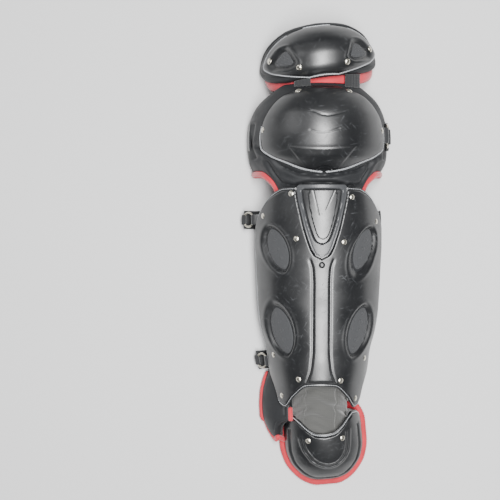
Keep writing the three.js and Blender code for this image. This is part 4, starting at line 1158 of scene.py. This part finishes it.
def rim(surface, side, inset, low=0.0, high=1.0, out=0.3, count=400):
    """A line along one side of a patch at a distance in from its edge, with the surface's normals."""
    run = np.linspace(low, high, count)[None] + np.zeros((200, 1))
    deep = np.linspace(0, 0.3, 200)[:, None] + np.zeros((1, count))
    s, t = {"near": (deep, run), "far": (1 - deep, run), "foot": (run, deep), "top": (run, 1 - deep)}[side]
    points = surface(s, t, out)
    far = np.linalg.norm(np.diff(points, axis=0), axis=-1).cumsum(0)
    pick = np.minimum((far < inset).sum(0) + 1, 199)
    column = np.arange(count)
    return points[pick, column], outward(surface, s, t, out)[pick, column]


def stitches(name, lines, pitch, thick, lean, place=(0, 0), turn=0.0):
    """Stitches at a pitch along lines, each a short bead of thread turned by a lean from the line's
    direction."""
    angle = turns(6)
    share = np.array([-1, -0.75, 0, 0.75, 1])
    size = np.array([0.3, 0.85, 1, 0.85, 0.3])
    beads = []
    for path, up in lines:
        run = run_along(path)
        at = np.arange(pitch / 2, run[-1], pitch)
        middle, up = points_at(path, run, at), points_at(up, run, at)
        along, across, up = frames(middle, up)
        way = math.cos(lean) * along + math.sin(lean) * across
        cross = np.cross(way, up)
        half = pitch * 0.42 / max(math.cos(lean), 0.5)
        ring = cross[:, None] * np.cos(angle)[:, None] + up[:, None] * np.sin(angle)[:, None]
        beads.append(middle[:, None, None] + half * share[:, None, None] * way[:, None, None]
                     + thick * size[:, None, None] * ring[:, None])
    beads = np.concatenate(beads)
    index = np.arange(30).reshape(5, 6)
    after = np.roll(index, -1, 1)
    quads = np.stack([index[:-1], after[:-1], after[1:], index[1:]], -1).reshape(-1, 4)
    caps = np.array([(0, 2, 1), (0, 3, 2), (0, 4, 3), (0, 5, 4)])
    caps = np.concatenate([caps, 24 + caps[:, ::-1]])
    start = 30 * np.arange(len(beads))[:, None, None]
    points = set_down(beads, place, turn).reshape(-1, 3)
    quads = (quads + start).reshape(-1, 4)
    caps = (caps + start).reshape(-1, 3)
    return mixed_piece(name, points, quads, caps, thread_painted_highlight_finish, "webbing")


shell_sides = [rim(shin_shell_patch, side, 1.1, 0.03, 0.97, 0.2) for side in ("near", "far")]
stitches("shin_edge_rope", shell_sides, 2.1, 0.85, 0.7)
shell_ends = [rim(shin_shell_patch, side, 2.3) for side in ("near", "far", "foot", "top")]
stitches("shin_stitches", shell_ends, 3.2, 0.4, 0.15)
for name, inset, thick in (("outer", 1.0, 1.1), ("inner", 4.6, 0.8)):
    cap_edge = [rim(cap_patch, side, inset, 0.0, 0.55) for side in ("near", "far")]
    stitches(f"cap_rope_{name}", cap_edge, 2.2, thick, 0.7)
thigh_edge = [rim(thigh_shell_patch, side, 1.0, 0.0, 0.9) for side in ("near", "far", "foot", "top")]
stitches("thigh_rope", thigh_edge, 2.2, 0.9, 0.7, thigh_place, thigh_turn)
toe_sewn = soften(np.concatenate([toe_rim * 0.955, np.zeros((36, 1))], 1), 2)
toe_sewn = points_at(toe_sewn, np.arange(36), np.linspace(0, 35, 300))
half = toe_half * read(toe_rows, "half", (toe_sewn[:, 1] - toe_foot) / toe_length)
across = np.arcsin(np.clip(toe_sewn[:, 0] / half, -1, 1)) * 2 / np.pi
toe_sewn = toe_point(across, toe_sewn[:, 1], 0.2)
toe_way = toe_point(across, toe_sewn[:, 1], 1.2) - toe_sewn
toe_edge = [(toe_sewn, unit(toe_way)), rim(toe_patch, "top", 2.4)]
stitches("toe_stitches", toe_edge, 2.8, 0.6, 0.3, toe_place, toe_turn)


low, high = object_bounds()
